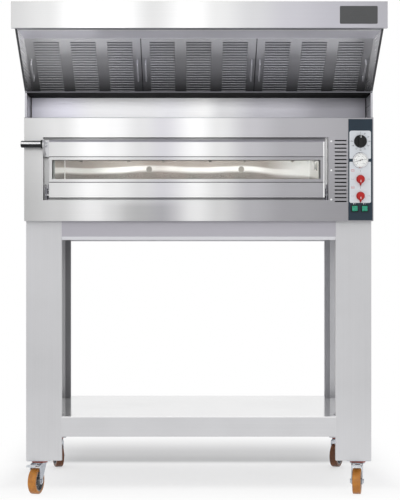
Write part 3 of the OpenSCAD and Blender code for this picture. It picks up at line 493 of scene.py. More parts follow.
def mineral_wool():
    """Yellow mineral wool with long fibres"""
    f = Finish("mineral_wool", Metallic=0.0)
    fibres = f.noise(1.0, 5.0, 0.7, f.scaled(60, 700, 700))
    f.colour(f.ramp(fibres, ((0.3, "a8924a"), (0.6, "d8c680"), (0.8, "eadfae"))))
    f.roughness(f.remap(fibres, 0.2, 0.8, 0.85, 1.0))
    f.bump(fibres, 0.8, 0.002)
    return f.material


def tread_rubber(name, deep, main, pale):
    """Amber polyurethane, slightly glossy, with fine dark specks"""
    f = Finish(name, Metallic=0.0, IOR=1.5, Coat_Weight=0.15, Coat_Roughness=0.3)
    cloud = f.noise(35.0, 4.0)
    grit = f.noise(600.0, 2.0)
    ground = f.ramp(cloud, ((0.3, deep), (0.55, main), (0.75, pale)))
    f.colour(f.mix(f.remap(grit, 0.62, 0.8, 0.0, 0.4), ground, "6e4a1c"))
    f.roughness(f.remap(cloud, 0.3, 0.7, 0.35, 0.55))
    f.bump(grit, 0.2, 0.0002)
    return f.material


def pane():
    """Oven glass; lamps reach what is behind it"""
    f = Finish("oven_glass", Metallic=0.0, Roughness=0.02, IOR=1.45, Transmission_Weight=1.0)
    haze = f.noise(7.0, 4.0)
    f.colour(f.ramp(haze, ((0.35, "f4f6f4"), (0.7, "fbfcfb"))))
    f.bump(haze, 0.01, 0.0002)
    through = f.add("BsdfTransparent", Color="f2f4f2")
    f.blend(f.add("LightPath", "Is Shadow Ray"), f.shader.outputs[0], through, "Material Output")
    return f.material


def dial_pane():
    """Thin flat glass over the dial"""
    f = Finish("dial_glass", Metallic=0.0, IOR=1.5, Alpha=0.1)
    smear = f.noise(90.0)
    f.colour(f.ramp(smear, ((0.3, "f2f6f6"), (0.7, "ffffff"))))
    f.roughness(f.remap(smear, 0.3, 0.7, 0.02, 0.08))
    return f.material


def dark_grip():
    """Black chrome bar with the studio's light painted along its upper side as a highlight"""
    f = Finish("grip_black_chrome", Metallic=0.85, IOR=1.5)
    cloud = f.noise(60.0, 4.0)
    share = f.remap(f.axis("Z"), grip_lo.z, grip_hi.z)
    # painted highlight: a bright band across the upper side, by height
    stops = ((0.0, "3a3c3e"), (0.18, "141517"), (0.46, "1c1d1f"), (0.56, "e9e9ea"),
             (0.74, "f6f6f6"), (0.82, "4c4d4f"), (1.0, "2a2b2d"))
    ground = f.ramp(share, stops)
    f.colour(f.mix(f.remap(cloud, 0.3, 0.7, 0.0, 0.15), ground, "6a6b6d"))
    f.roughness(f.remap(cloud, 0.25, 0.75, 0.14, 0.26))
    f.bump(cloud, 0.05, 0.0002)
    return f.material


def lit_lens(name, base, glow, strength):
    """Coloured lens with light behind it"""
    f = Finish(name, Metallic=0.0, IOR=1.5, Coat_Weight=0.4, Emission_Strength=strength)
    cloud = f.noise(160.0, 2.0)
    f.colour(f.mix(f.remap(cloud, 0.3, 0.7, 0.0, 0.5), base, glow))
    lit = f.mix(f.remap(cloud, 0.3, 0.7, 0.0, 0.6), base, glow)
    f.put(lit, f.shader.inputs["Emission Color"])
    f.roughness(f.remap(cloud, 0.2, 0.8, 0.15, 0.3))
    soft = f.edge(0.0006)[1]
    f.bump(cloud, 0.1, 0.0002, soft)
    return f.material


def ink(name, base):
    """Printed mark, slightly uneven"""
    f = Finish(name, Metallic=0.0)
    spread = f.noise(500.0)
    f.colour(f.mix(f.remap(spread, 0.35, 0.7), base, shifted(base, 1.25, 0.01)))
    f.roughness(f.remap(spread, 0.2, 0.8, 0.4, 0.6))
    f.bump(spread, 0.1, 0.00005)
    return f.material


# Zones of the sheets: limits, colour and roughness
LOUVRE_X = (0.52, 0.576)
DECK_ZONES = (
    # painted light on the wall of the recess beside the door, painted shade inside the louvres, upper edge
    # darker
    ((above("Y", face_y + 0.003), ("X", door_hi.x - 0.004, 0.51)), "ffffff", 0.4),
    ((above("Y", face_y + 0.0024), ("X", *LOUVRE_X)), "1c1c1f", 0.6),
    ((above("Z", deck_top - 0.0018),), "7a7a80", 0.45),
)
# painted shade: a soft darker patch in the deck's painted reflection, low and left of the middle
DECK_PATCH = (-0.21, 0.17, deck_z + 0.085, 0.74)
TRIM = below("Y", face_y - 0.002)     # what stands out of the door's sheet
DOOR_ZONES = (
    # window trim, a painted highlight on its left end, painted shade in the groove round the window and on
    # the upper fold, a painted highlight at the right edge of the window
    ((TRIM,), None, 0.45),
    ((TRIM, below("X", door_lo.x + 0.0122)), "ffffff", 0.5),
    ((("Y", face_y + 0.0006, face_y + 0.0015), ("Z", door_lo.z + 0.05, door_lo.z + 0.17)), "26262a", 0.5),
    ((above("Z", door_hi.z - 0.0102), ("Y", face_y + 0.0002, face_y + 0.0085)), "cbcad0", 0.36),
    ((below("Y", face_y + 0.003), ("X", door_hi.x - 0.0165, door_hi.x - 0.0105)), "ffffff", 0.4),
)
FASCIA_ZONES = (
    # painted shade on the underside of the lower fold, and a painted highlight on the return behind it
    ((below("Z", fascia_lo.z + 0.0004), above("Y", fascia_lo.y + 0.003)), "b2b2b8", 0.45),
    ((below("Z", fascia_lo.z + 0.0025), above("Y", fascia_hi.y - 0.016)), "ffffff", 0.45),
)
PLINTH_END = 0.0042
PLINTH_ZONES = (
    # shade at both ends
    ((below("X", plinth_lo.x + PLINTH_END),), "18181a", 0.6),
    ((above("X", plinth_hi.x - PLINTH_END),), "3a3a3e", 0.6),
)
HOOD_HEIGHT = ("Z", tray_hi.z, fascia_hi.z - 0.004)
HOOD_ZONES = (
    # inner face of each side, painted shade low down turning to painted light high up, and painted shade
    # along the sides' slanted front edge
    ((("X", fascia_lo.x + HOOD_WALL[0], fascia_lo.x + HOOD_WALL[1]), HOOD_HEIGHT), WALL_PAINTED_LIGHT, 0.26),
    ((("X", fascia_hi.x - HOOD_WALL[1], fascia_hi.x - HOOD_WALL[0]), HOOD_HEIGHT), WALL_PAINTED_LIGHT, 0.26),
    (((HOOD_EDGE, -0.0012, 0.002), ("Z", tray_hi.z + 0.002, fascia_lo.z)), "303034", 0.5),
)
APRON_ZONES = (((below("Z", apron_lo.z + 0.013),), "dcdce0", 0.4),)    # painted highlight on the lower fold
SHELF_ZONES = (((below("Z", shelf_hi.z - 0.003),), "d2d2d4", 0.42),)   # painted shade on the front fold
TRAY_ZONES = (((below("Z", tray_lo.z + 0.001),), "181718", 0.9),)      # painted shade on the underside

# Fades of painted light and shade: axis, low, high, level at low, level at high
# painted shade: the deck darker towards its foot
DECK_FADE = ("Z", deck_z + 0.08, deck_z + 0.32, 0.8, 0.97)
# the door's painted reflection dimmed evenly
DOOR_FADE = ("Z", door_lo.z, door_hi.z, 0.9, 0.9)
# painted shade at the top of the plinth, under the tray
PLINTH_FADE = ("Z", plinth_lo.z + 0.045, plinth_lo.z + 0.065, 1.0, 0.95)
# painted light: the legs paler towards the floor
LEG_FADE = ("Z", 0.14, 0.42, 1.12, 1.0)

# Looks by node name, or by a short word where pieces share one or are trim
LOOKS = {
    "front_panel": steel("deck_brushed", "c8c8c8", 0.36, "x", DECK_REFLECTION, 0.72, fade=DECK_FADE,
                         patches=(DECK_PATCH,), zones=DECK_ZONES),
    "door_skin": steel("door_brushed", "c8c8c8", 0.34, "x", DECK_REFLECTION, 0.74, fade=DOOR_FADE,
                       zones=DOOR_ZONES),
    "hood_fascia": steel("fascia_brushed", "d0d0d0", 0.36, "x", FASCIA_REFLECTION, 0.72, zones=FASCIA_ZONES),
    "plinth_panel": steel("plinth_brushed", "d0d0d0", 0.36, "x", PLINTH_REFLECTION, 0.5, fade=PLINTH_FADE,
                          zones=PLINTH_ZONES),
    "casing": steel("casing_brushed", "c4c4c6", 0.36, "y"),
    "rear_cover": steel("rear_brushed", "b8b8bb", 0.4),
    "leg": steel("leg_brushed", "c9c9cb", 0.42, "z", metal=0.7, fade=LEG_FADE),
    "rear_left_leg": steel("leg_shaded_brushed", "aaaaac", 0.42, "z", metal=0.7),
    "rear_right_leg": steel("leg_lit_brushed", "d0d0d3", 0.42, "z", metal=0.7),
    "apron": steel("apron_brushed", "b0aeb5", 0.4, metal=0.75, zones=APRON_ZONES),
    "shelf": steel("shelf_brushed", "ffffff", 0.1, metal=0.8, zones=SHELF_ZONES),
    "hood_canopy": steel("hood_brushed", "bcbcc2", 0.3, "y", metal=0.2, edge_wear_and_highlight_level=0.2, zones=HOOD_ZONES),
    "hood_soffit": steel("soffit_brushed", "efeef6", 0.42, metal=0.5),
    "filter": filter_steel(),
    # drip tray darker than the other sheet, a painted dark reflection
    "drip_tray": steel("tray_brushed", "6c6c72", 0.42, metal=0.7, edge_wear_and_highlight_level=0.05, zones=TRAY_ZONES),
    "door_inner_panel": steel("liner_brushed", "a6a4a2", 0.38, metal=0.9),
    "hinge": steel("hinge_plate", "84848a", 0.35, "z", metal=0.95),
    "grip_bracket": steel("bracket_plate", "c2c2c4", 0.3, "z", metal=0.9),
    "chamber": chamber_steel(),
    "refractory_slabs": refractory(),
    "insulation": mineral_wool(),
    "element": steel("element_sheath", "a39c94", 0.5, "y", metal=0.6, edge_wear_and_highlight_level=0.15),
    "chamber_lamp": lit_lens("lamp_cover", "a8a8a8", "dededc", 0.05),
    "cable_gland": plastic("gland_polyamide", "3a3d40", 0.45),
    "control_panel": plastic("panel_lacquer", "142a39", 0.6, "3c505d"),
    "control_bodies": plastic("control_housing", "c9bfa6", 0.5),
    "thermometer_case": plated("dial_case_chrome", "e6e6e8", 0.16),
    "black": plastic("knob_black", "040607", 0.62, "3a3e42"),
    "switch_bezels": plastic("bezel_black", "020507", 0.62, "3a4a4c"),
    "red": plastic("knob_red", "b80a08", 0.5, "dc4430"),
    "green": lit_lens("rocker_green", "067358", "14a080", 0.3),
    "thermometer_needle": plastic("needle_lacquer", "101010", 0.35),
    "door_glass": pane(),
    "dial_pane": dial_pane(),
    "door_grip": dark_grip(),
    "zinc": plated("castor_zinc", "cdd2da", 0.3, metal=0.85),
    "pedal": plated("pedal_zinc", "dfe3e8", 0.24, metal=0.85),
    "hub": plated("hub_cast", "989b9e", 0.45, mottle=0.2, metal=0.8),
    "tread": tread_rubber("tread_amber", "a06219", "bc7826", "cc8e38"),
    "tread_shaded": tread_rubber("tread_amber_shaded", "4c2405", "68360a", "7e4612"),
    "exhaust_collar": steel("collar_galvanised", "b5b8bb", 0.42, "z", metal=0.85),
    "enamel": plastic("dial_enamel", "fbfbf9", 0.4, variation=0.02),
    "field": plastic("overlay_grey", "d9dde2", 0.42, "ffffff", 0.04),
    "badge": plastic("badge_grey", "4a4b4c", 0.45, "8a8a8a", 0.05),
    "dark_ink": ink("dark_ink", "22262a"),
    "red_ink": ink("red_ink", "c23a3a"),
    "white_ink": ink("white_ink", "e8ecee"),
    "screw": plated("screw_zinc", "d6d8dc", 0.2),
    # rivet and screw heads painted white as highlights
    "rivet": plated("rivet_painted_highlight", "ffffff", 0.5, mottle=0.04, metal=0.25),
    "seal": plastic("castor_seal", "b5533a", 0.45, "e8a080"),
}

# Nodes whose look has another name than their own
LOOK_NODES = {
    "leg": "front_left_leg front_right_leg",
    "apron": "front_apron side_aprons rear_apron",
    "casing": "top_cover side_panels base_tray",
    "zinc": "castor_plates",
    "pedal": "brake_pedal_left brake_pedal_right",
    "element": "upper_elements lower_elements",
    "hinge": "hinge_brackets",
    "black": "thermostat_knob",
    "red": "upper_heat_knob lower_heat_knob",
    "green": "left_switch right_switch",
    "filter": "left_filter middle_filter right_filter",
}
NODE_LOOK = {node: look for look, nodes in LOOK_NODES.items() for node in nodes.split()}
for corner in CORNERS:
    NODE_LOOK["fork_" + corner] = "zinc"
    NODE_LOOK["hub_" + corner] = "hub"
    NODE_LOOK["tread_" + corner] = "tread" if "front" in corner else "tread_shaded"


def dress_nodes():
    """Gives each CAD node its finish"""
    for name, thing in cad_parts.items():
        look = LOOKS[NODE_LOOK.get(name, name)]
        if not thing.material_slots:
            thing.data.materials.append(look)
        for holder in thing.material_slots:
            holder.material = look


dress_nodes()


# Small trim, built as meshes

FRONT = (0, -1, 0)     # the way out of the front
SMOOTH_ANGLE = 30      # faces that meet at less are shaded as one
BEVEL_ANGLE = 40       # edges that turn by more are rounded


def to_object(name, mesh_data, look, body):
    """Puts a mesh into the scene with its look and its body"""
    made = placed(name, mesh_data)
    made.data.materials.append(LOOKS[look])
    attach(made, body)
    return made


def finish_mesh(name, bm, look, body, bevel=0.0):
    """Turns a shape into a piece, shaded smooth where its faces meet gently"""
    bmesh.ops.recalc_face_normals(bm, faces=bm.faces)
    mesh = bpy.data.meshes.new(name)
    bm.to_mesh(mesh)
    bm.free()
    for face in mesh.polygons:
        face.use_smooth = True
    mesh.set_sharp_from_angle(angle=math.radians(SMOOTH_ANGLE))
    made = to_object(name, mesh, look, body)
    if bevel:
        rounding = made.modifiers.new("rounding", "BEVEL")
        rounding.width = bevel
        rounding.segments = 2
        rounding.limit_method = "ANGLE"
        rounding.angle_limit = math.radians(BEVEL_ANGLE)


def arc(centre, radius, start, end, steps):
    """Points on an arc, angles in degrees"""
    turn = [math.radians(start + (end - start) * i / steps) for i in range(steps + 1)]
    return [(centre[0] + radius * math.cos(t), centre[1] + radius * math.sin(t)) for t in turn]


def rectangle(x0, x1, z0, z1):
    """Outline of a rectangle in X and Z"""
    return [(x0, z0), (x1, z0), (x1, z1), (x0, z1)]


def rounded_outline(x0, x1, z0, z1, radii, steps=6):
    """Rectangle with its own radius at each corner: low left, low right, top right, top left"""
    points = []
    corners = ((x0, z0, 1, 1, 180), (x1, z0, -1, 1, 270), (x1, z1, -1, -1, 0), (x0, z1, 1, -1, 90))
    for (x, z, sx, sz, start), r in zip(corners, radii):
        points += arc((x + sx * r, z + sz * r), r, start, start + 90, steps)
    return points


def slab(bm, outline, y_front, y_back):
    """Adds a plate of that outline in X and Z between two Y planes"""
    front = [bm.verts.new((x, y_front, z)) for x, z in outline]
    back = [bm.verts.new((x, y_back, z)) for x, z in outline]
    bm.faces.new(front)
    bm.faces.new(list(reversed(back)))
    count = len(outline)
    for i in range(count):
        j = (i + 1) % count
        bm.faces.new((front[j], front[i], back[i], back[j]))


def lathe(bm, profile, centre, axis, steps):
    """Adds a turned shape; the profile is (radius, distance along the axis)"""
    axis = Vector(axis).normalized()
    side = axis.orthogonal().normalized()
    other = axis.cross(side)
    rings = []
    for radius, along in profile:
        base = Vector(centre) + axis * along
        if radius == 0:
            rings.append([bm.verts.new(base)])
            continue
        rings.append([bm.verts.new(base + (side * math.cos(t) + other * math.sin(t)) * radius)
                      for t in (2 * math.pi * i / steps for i in range(steps))])
    for low, high in zip(rings, rings[1:]):
        for i in range(steps):
            j = (i + 1) % steps
            if len(low) == 1:
                bm.faces.new((low[0], high[i], high[j]))
            elif len(high) == 1:
                bm.faces.new((low[j], low[i], high[0]))
            else:
                bm.faces.new((low[i], high[i], high[j], low[j]))


def plate(name, outline, y_front, y_back, look, body, bevel=0.0):
    """A piece that is one flat plate"""
    bm = bmesh.new()
    slab(bm, outline, y_front, y_back)
    finish_mesh(name, bm, look, body, bevel)


def turned(name, profile, centre, axis, steps, look, body, bevel=0.0):
    """A piece that is one turned shape"""
    bm = bmesh.new()
    lathe(bm, profile, centre, axis, steps)
    finish_mesh(name, bm, look, body, bevel)


def heads(name, spots, radius, height, look, body, steps=20):
    """A set of domed heads of rivets, bolts or screws; spots are (centre, axis)"""
    turns = [math.pi / 2 * i / 5 for i in range(5)]
    crown = [(radius * math.cos(t), height * 0.3 + height * 0.7 * math.sin(t)) for t in turns]
    bm = bmesh.new()
    for centre, axis in spots:
        lathe(bm, [(0, 0), (radius, 0), *crown, (0, height)], centre, axis, steps)
    finish_mesh(name, bm, look, body)


# Bare plate at the right of the fascia
PLATE_X = (0.5125, 0.6503)
PLATE_Z = (fascia_lo.z + 0.015, fascia_lo.z + 0.080)
PLATE_R = 0.004
PLATE_T = 0.0012
RIM_RISE = 0.0004
RIM_IN = 0.034
RIM_Z = (PLATE_Z[0] + 0.025, PLATE_Z[0] + 0.040)
RIM_R = 0.0074


def badge_plate():
    """Grey plate with a raised rounded field"""
    y = fascia_lo.y
    outline = rounded_outline(*PLATE_X, *PLATE_Z, [PLATE_R] * 4)
    plate("fascia_plate", outline, y - PLATE_T, y, "badge", "frame", bevel=0.0003)
    inner = rounded_outline(PLATE_X[0] + RIM_IN, PLATE_X[1] - RIM_IN, *RIM_Z, [RIM_R] * 4)
    plate("fascia_plate_rim", inner, y - PLATE_T - RIM_RISE, y - PLATE_T + 0.0001, "badge", "frame",
          bevel=0.0002)


# Printed field of the control panel, split by a dark bar at the thermometer's height
dial = middle("thermometer_case")
dial_r = half_size("thermometer_case").x
FIELD_X = (panel_lo.x + 0.004, panel_hi.x - 0.006)
FIELD_Z = (deck_z + 0.070, deck_z + 0.349)
BAR_HALF = 0.006
FIELD_T = 0.0004
PRINT_T = 0.00015
DIAL_GAP = 0.0004      # between the thermometer and the fields
BAR_R = 0.003          # corner radii at the bar, at the top and at the foot
TOP_R = 0.008
FOOT_R = 0.006


def panel_fields():
    """Pale upper and lower field, each cut out round the thermometer"""
    r = dial_r + DIAL_GAP
    reach = math.degrees(math.asin(BAR_HALF / r))
    upper = rounded_outline(*FIELD_X, dial.z + BAR_HALF, FIELD_Z[1], (BAR_R, BAR_R, TOP_R, TOP_R))
    lower = rounded_outline(*FIELD_X, FIELD_Z[0], dial.z - BAR_HALF, (FOOT_R, FOOT_R, BAR_R, BAR_R))
    over = arc((dial.x, dial.z), r, 180 - reach, reach, 24)
    under = arc((dial.x, dial.z), r, -reach, reach - 180, 24)
    split = len(upper) // 4
    upper = upper[:split] + over + upper[split:]
    lower = lower[:3 * split] + under + lower[3 * split:]
    for name, outline in (("upper_field", upper), ("lower_field", lower)):
        plate(name, outline, panel_y - FIELD_T, panel_y, "field", "frame")


def scale_marks(name, centre, angles, near, far, width, y_front):
    """Printed ticks round a centre; angles go clockwise from the top, in degrees"""
    bm = bmesh.new()
    for turn in map(math.radians, angles):
        out = Vector((math.sin(turn), math.cos(turn)))
        side = Vector((out.y, -out.x)) * width / 2
        start, end = Vector(centre) + out * near, Vector(centre) + out * far
        slab(bm, (start - side, end - side, end + side, start + side), y_front - PRINT_T, y_front)
    finish_mesh(name, bm, "dark_ink", "frame")


def figures(prefix, values, centre, angles, radius, size, y_front):
    """Plain printed numbers round a centre"""
    for i, (value, angle) in enumerate(zip(values, angles)):
        name = f"{prefix}_number_{i}"
        curve = bpy.data.curves.new(name, "FONT")
        curve.body = str(value)
        curve.size = size
        curve.align_x = "CENTER"
        curve.align_y = "CENTER"
        curve.extrude = 0.00008
        curve.resolution_u = 2
        shape = placed(name, curve)
        shape.rotation_euler = (math.radians(90), 0, 0)
        turn = math.radians(angle)
        x, z = centre[0] + radius * math.sin(turn), centre[1] + radius * math.cos(turn)
        shape.location = (x, y_front - curve.extrude, z)
        bpy.context.view_layer.update()
        mesh = bpy.data.meshes.new_from_object(shape)
        mesh.transform(shape.matrix_world)
        bpy.data.objects.remove(shape)
        to_object(name, mesh, "dark_ink", "frame")


# Knobs; a heat knob's axis lies one radius under the top of its box, which holds its pointer too
thermostat = middle("thermostat_knob")
KNOB_X = thermostat.x
thermostat_r = half_size("thermostat_knob").x
heat_r = half_size("upper_heat_knob").x
upper_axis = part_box("upper_heat_knob")[1].z - heat_r
lower_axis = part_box("lower_heat_knob")[1].z - heat_r
FIGURE_SIZE = 0.0056
MARK_WIDTH = 0.0009
THERMOSTAT_STEP = 30
THERMOSTAT_RINGS = (0.0025, 0.0055, 0.0095)    # from the knob's rim: both ends of the ticks, numbers
HEAT_RINGS = (0.0108, 0.0138, 0.0178)
HEAT_TURNS = (180, 270, 0, 90)                 # off, and three steps
ICON_AT = (-0.0295, 0.0335)    # from a heat knob's axis to its icon, and half of the icon's sides
ICON_HALF = (0.0058, 0.0042)
ICON_LINE = 0.0008
ICON_TEETH = 5
WAVE_OFF = 0.0014      # from the icon's middle to its wavy line
WAVE_RISE = 0.001


def panel_prints():
    """Scales of the thermostat and the heat knobs, with plain numbers"""
    y = panel_y - FIELD_T
    knob = (KNOB_X, thermostat.z)
    turns = [THERMOSTAT_STEP * i for i in range(10)]
    near, far, beyond = (thermostat_r + out for out in THERMOSTAT_RINGS)
    scale_marks("thermostat_marks", knob, turns, near, far, MARK_WIDTH, y)
    figures("thermostat", range(0, 500, 50), knob, turns, beyond, FIGURE_SIZE, y)
    near, far, beyond = (heat_r + out for out in HEAT_RINGS)
    for label, z in (("upper", upper_axis), ("lower", lower_axis)):
        knob = (KNOB_X, z)
        scale_marks(label + "_heat_marks", knob, HEAT_TURNS, near, far, MARK_WIDTH, y)
        figures(label + "_heat", (1, 2, 3), knob, HEAT_TURNS[1:], beyond, FIGURE_SIZE, y)
        heat_icon(label, (KNOB_X + ICON_AT[0], z + ICON_AT[1]), y, label == "upper")


def heat_icon(label, centre, y, heat_on_top):
    """A small box with a wavy heating line over or under its middle"""
    bm = bmesh.new()
    w, h = ICON_HALF
    t = ICON_LINE
    x, z = centre
    for limits in ((x - w, x + w, z - h, z - h + t), (x - w, x + w, z + h - t, z + h),
                   (x - w, x - w + t, z - h, z + h), (x + w - t, x + w, z - h, z + h)):
        slab(bm, rectangle(*limits), y - PRINT_T, y)
    line_z = z + (WAVE_OFF if heat_on_top else -WAVE_OFF)
    step = 2 * (w - 2 * t) / ICON_TEETH
    for i in range(ICON_TEETH):
        a = x - w + 2 * t + i * step
        rise = WAVE_RISE if i % 2 else -WAVE_RISE
        slab(bm, [(a, line_z - rise - t / 2), (a + step, line_z + rise - t / 2),
                  (a + step, line_z + rise + t / 2), (a, line_z - rise + t / 2)], y - 0.0003, y - 0.0001)
    finish_mesh(label + "_heat_icon", bm, "red_ink", "frame")


MARKS_UP = 0.0183      # from a switch's middle to its marks
RING_LEFT = 0.004
RING_R = 0.0018
BAR_X = (0.0034, 0.0042)


def switch_marks():
    """Small ring and bar over each switch"""
    y = panel_y - 0.0002
    for i, node in enumerate(("left_switch", "right_switch")):
        at = middle(node)
        z = at.z + MARKS_UP
        bm = bmesh.new()
        slab(bm, arc((at.x - RING_LEFT, z), RING_R, 0, 360, 20)[:-1], y, panel_y)
        slab(bm, rectangle(at.x + BAR_X[0], at.x + BAR_X[1], z - RING_R, z + RING_R), y, panel_y)
        finish_mesh(f"switch_mark_{i}", bm, "white_ink", "frame")


DIAL_BACK = 0.002      # back and front of the dial's face, and back of its glass, before the panel
DIAL_FACE = 0.0022
DIAL_GLASS = 0.0052
PIN_R = 0.0012         # the needle's pin
FACE_RIM = 0.0043      # the case's rim round the face, and round the glass
GLASS_RIM = 0.0032
TICKS_IN = (0.0045, 0.0026, 0.001)    # from the face's edge: long ticks, fine ticks, their outer ends
NUMBERS_IN = 0.0083
DIAL_START = -135
DIAL_TURN = 270


def dial_parts():
    """Face, marks, numbers and glass of the thermometer"""
    centre = (dial.x, panel_y, dial.z)
    face_r = dial_r - FACE_RIM
    face = [(PIN_R, DIAL_BACK), (face_r, DIAL_BACK), (face_r, DIAL_FACE), (PIN_R, DIAL_FACE),
            (PIN_R, DIAL_BACK)]
    turned("dial_face", face, centre, FRONT, 48, "enamel", "frame")
    y = panel_y - DIAL_FACE
    at = (dial.x, dial.z)
    main = [DIAL_START + DIAL_TURN / 10 * i for i in range(11)]
    fine = [DIAL_START + DIAL_TURN / 50 * i for i in range(51)]
    long_in, fine_in, out = (face_r - inset for inset in TICKS_IN)
    scale_marks("dial_marks", at, main, long_in, out, 0.0008, y)
    scale_marks("dial_fine_marks", at, fine, fine_in, out, 0.0003, y)
    figures("dial", range(0, 600, 100), at, main[::2], face_r - NUMBERS_IN, 0.0052, y)
    glass_r = dial_r - GLASS_RIM
    glass = [(0, DIAL_GLASS), (glass_r, DIAL_GLASS), (glass_r, DIAL_GLASS + 0.0005),
             (glass_r * 0.6, DIAL_GLASS + 0.0007), (0, DIAL_GLASS + 0.00075)]
    turned("dial_glass", glass, centre, FRONT, 48, "dial_pane", "frame")


KNOB_GAP = 0.001       # knobs stand clear of the panel by that
FLANGE_T = 0.005       # a heat knob's flange, and its whole height
HEAT_KNOB_T = 0.015
LINE_HALF = 0.00095    # half the width of a knob's line, and its corner radius
LINE_R = 0.0003
THERMOSTAT_LINE = (0.0122, 0.0218)    # both ends of a knob's line over the knob's axis
HEAT_LINE = (-0.0124, -0.0033)
TIP_HALF = 0.0024      # half the width of a heat knob's tip, and how far it reaches past the knob
TIP_REACH = 0.0095


def knob_line(x, z, ends):
    """Outline of the line on a knob"""
    return rounded_outline(x - LINE_HALF, x + LINE_HALF, z + ends[0], z + ends[1], [LINE_R] * 4, 2)


def knob_marks():
    """White line on the thermostat knob, dark tips and pale lines on the heat knobs"""
    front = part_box("thermostat_knob")[0].y
    x, z = KNOB_X, thermostat.z
    line = knob_line(x, z, THERMOSTAT_LINE)
    plate("thermostat_line", line, front - 0.0001, front + 0.0018, "white_ink", "thermostat",
          bevel=0.0001)
    flange = panel_y - KNOB_GAP - FLANGE_T
    top = panel_y - KNOB_GAP - HEAT_KNOB_T
    for body, z in (("upper_heat", upper_axis), ("lower_heat", lower_axis)):
        tip = z - heat_r - TIP_REACH
        outline = [(x - TIP_HALF, tip + 0.0036), (x, tip + 0.0002), (x + TIP_HALF, tip + 0.0036)]
        plate(body + "_tip", outline, flange - 0.0003, flange + 0.0002, "dark_ink", body)
        line = knob_line(x, z, HEAT_LINE)
        plate(body + "_line", line, top + 0.0001, top + 0.001, "white_ink", body)


RIVET_X = 0.512
RIVET_Z = (deck_z + 0.308, deck_z + 0.196, deck_z + 0.083)


def front_fasteners():
    """Rivets beside the door, bolts of the grip's bracket and the ring on the grip"""
    rivets = [((RIVET_X, face_y, z), FRONT) for z in RIVET_Z]
    heads("strip_rivets", rivets, 0.0038, 0.0014, "rivet", "frame")
    bracket_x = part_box("grip_bracket")[0].x
    bolts = [((bracket_x + 0.0125, face_y, door_hi.z - drop), FRONT) for drop in (0.0135, 0.0265)]
    heads("grip_bolts", bolts, 0.0042, 0.003, "screw", "door")
    grip = middle("door_grip")
    inner = half_size("door_grip").z + 0.0002
    outer = inner + 0.0028
    ring = [(inner, 0.0), (outer, 0.0), (outer, 0.006), (inner, 0.007), (inner, 0.0)]
    centre = (bracket_x - 0.0002, grip.y, grip.z)
    turned("grip_ring", ring, centre, (-1, 0, 0), 40, "black", "door", bevel=0.0005)


BRACKET_HALF = 0.005   # a hinge bracket's axis from its outer side
LEAF_T = 0.001
LEAF_X = (0.0018, 0.0096)      # a leaf's sides from the bracket's axis, its ends and its screws
LEAF_Z = (0.005, 0.062)
SCREW_X = 0.0057


def hinge_leaves():
    """Leaves beside each hinge bracket, on the back of the door's recess, and their screws"""
    low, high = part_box("hinge_brackets")
    bm, screws = bmesh.new(), []
    for x in (low.x + BRACKET_HALF, high.x - BRACKET_HALF):
        for side in (-1, 1):
            near, far = sorted(x + out * side for out in LEAF_X)
            slab(bm, rectangle(near, far, *(low.z + up for up in LEAF_Z)), high.y - LEAF_T, high.y)
        for side, rise in ((-1, 0.055), (1, 0.039), (-1, 0.021), (1, 0.021)):
            screws.append(((x + SCREW_X * side, high.y - LEAF_T, low.z + rise), FRONT))
    finish_mesh("hinge_leaves", bm, "hinge", "frame")
    heads("hinge_screws", screws, 0.0034, 0.0024, "rivet", "frame", 16)


def hinge_clips():
    """Retaining rings on the ends of the hinge pins"""
    bm = bmesh.new()
    ring = [(0.0041, 0), (0.0068, 0), (0.0068, 0.0012), (0.0041, 0.0012), (0.0041, 0)]
    for x, way in ((door_lo.x + 0.0005, 1), (door_hi.x - 0.0005, -1)):
        lathe(bm, ring, (x, face_y + 0.012, door_lo.z + 0.010), (way, 0, 0), 24)
    finish_mesh("hinge_clips", bm, "screw", "door")


CASTOR_INSET = 0.048   # a castor's axis from its leg's outer faces
SEAL_R = 0.0273


def castor_seals():
    """Coloured dust ring between each castor's plate and its fork"""
    plate_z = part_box("castor_plates")[1].z
    for corner in CORNERS:
        low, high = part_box(corner + "_leg")
        x = low.x + CASTOR_INSET if low.x < 0 else high.x - CASTOR_INSET
        y = low.y + CASTOR_INSET if low.y < 0 else high.y - CASTOR_INSET
        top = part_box("fork_" + corner)[1].z
        profile = [(SEAL_R, top + 0.0006), (0.0312, top + 0.0006), (0.0318, top + 0.003),
                   (0.03, top + 0.0072), (SEAL_R, plate_z - 0.0032), (SEAL_R, top + 0.0006)]
        turned("castor_seal_" + corner, profile, (x, y, 0), (0, 0, 1), 40, "seal", "frame")


def rear_fasteners():
    """Screws that hold the rear cover and the side panels"""
    low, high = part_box("rear_cover")
    screws = [((x, high.y, z), (0, 1, 0)) for x in (-0.62, -0.2, 0.2, 0.62)
              for z in (low.z + 0.03, high.z - 0.03)]
    heads("rear_screws", screws, 0.004, 0.0022, "screw", "frame")
    low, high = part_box("side_panels")
    screws = [((x, y, z), (way, 0, 0)) for way, x in ((-1, low.x), (1, high.x))
              for y in (face_y + 0.06, 0.15, high.y - 0.06) for z in (low.z + 0.02, high.z - 0.02)]
    heads("side_screws", screws, 0.0035, 0.0018, "screw", "frame")


badge_plate()
panel_fields()
panel_prints()
switch_marks()
dial_parts()
knob_marks()
front_fasteners()
hinge_leaves()
hinge_clips()
castor_seals()
rear_fasteners()


# Floor, light and background

FLOOR_HALF = 9.0
# share of the floor shown as white glow, by Y: it lifts the object's shadow in front and under it, drops
# in a band behind it and is whole far out
FLOOR_FADE = ((-0.5, 1.0), (-0.2, 0.85), (0.0, 0.6), (0.5, 0.5), (0.62, 0.1), (0.85, 0.12), (1.7, 1.0))
# painted shadow on the floor in a band behind the object: colour level by Y
FLOOR_SHADE = ((0.5, 1.0), (0.62, 0.6), (0.85, 0.7), (1.5, 1.0))


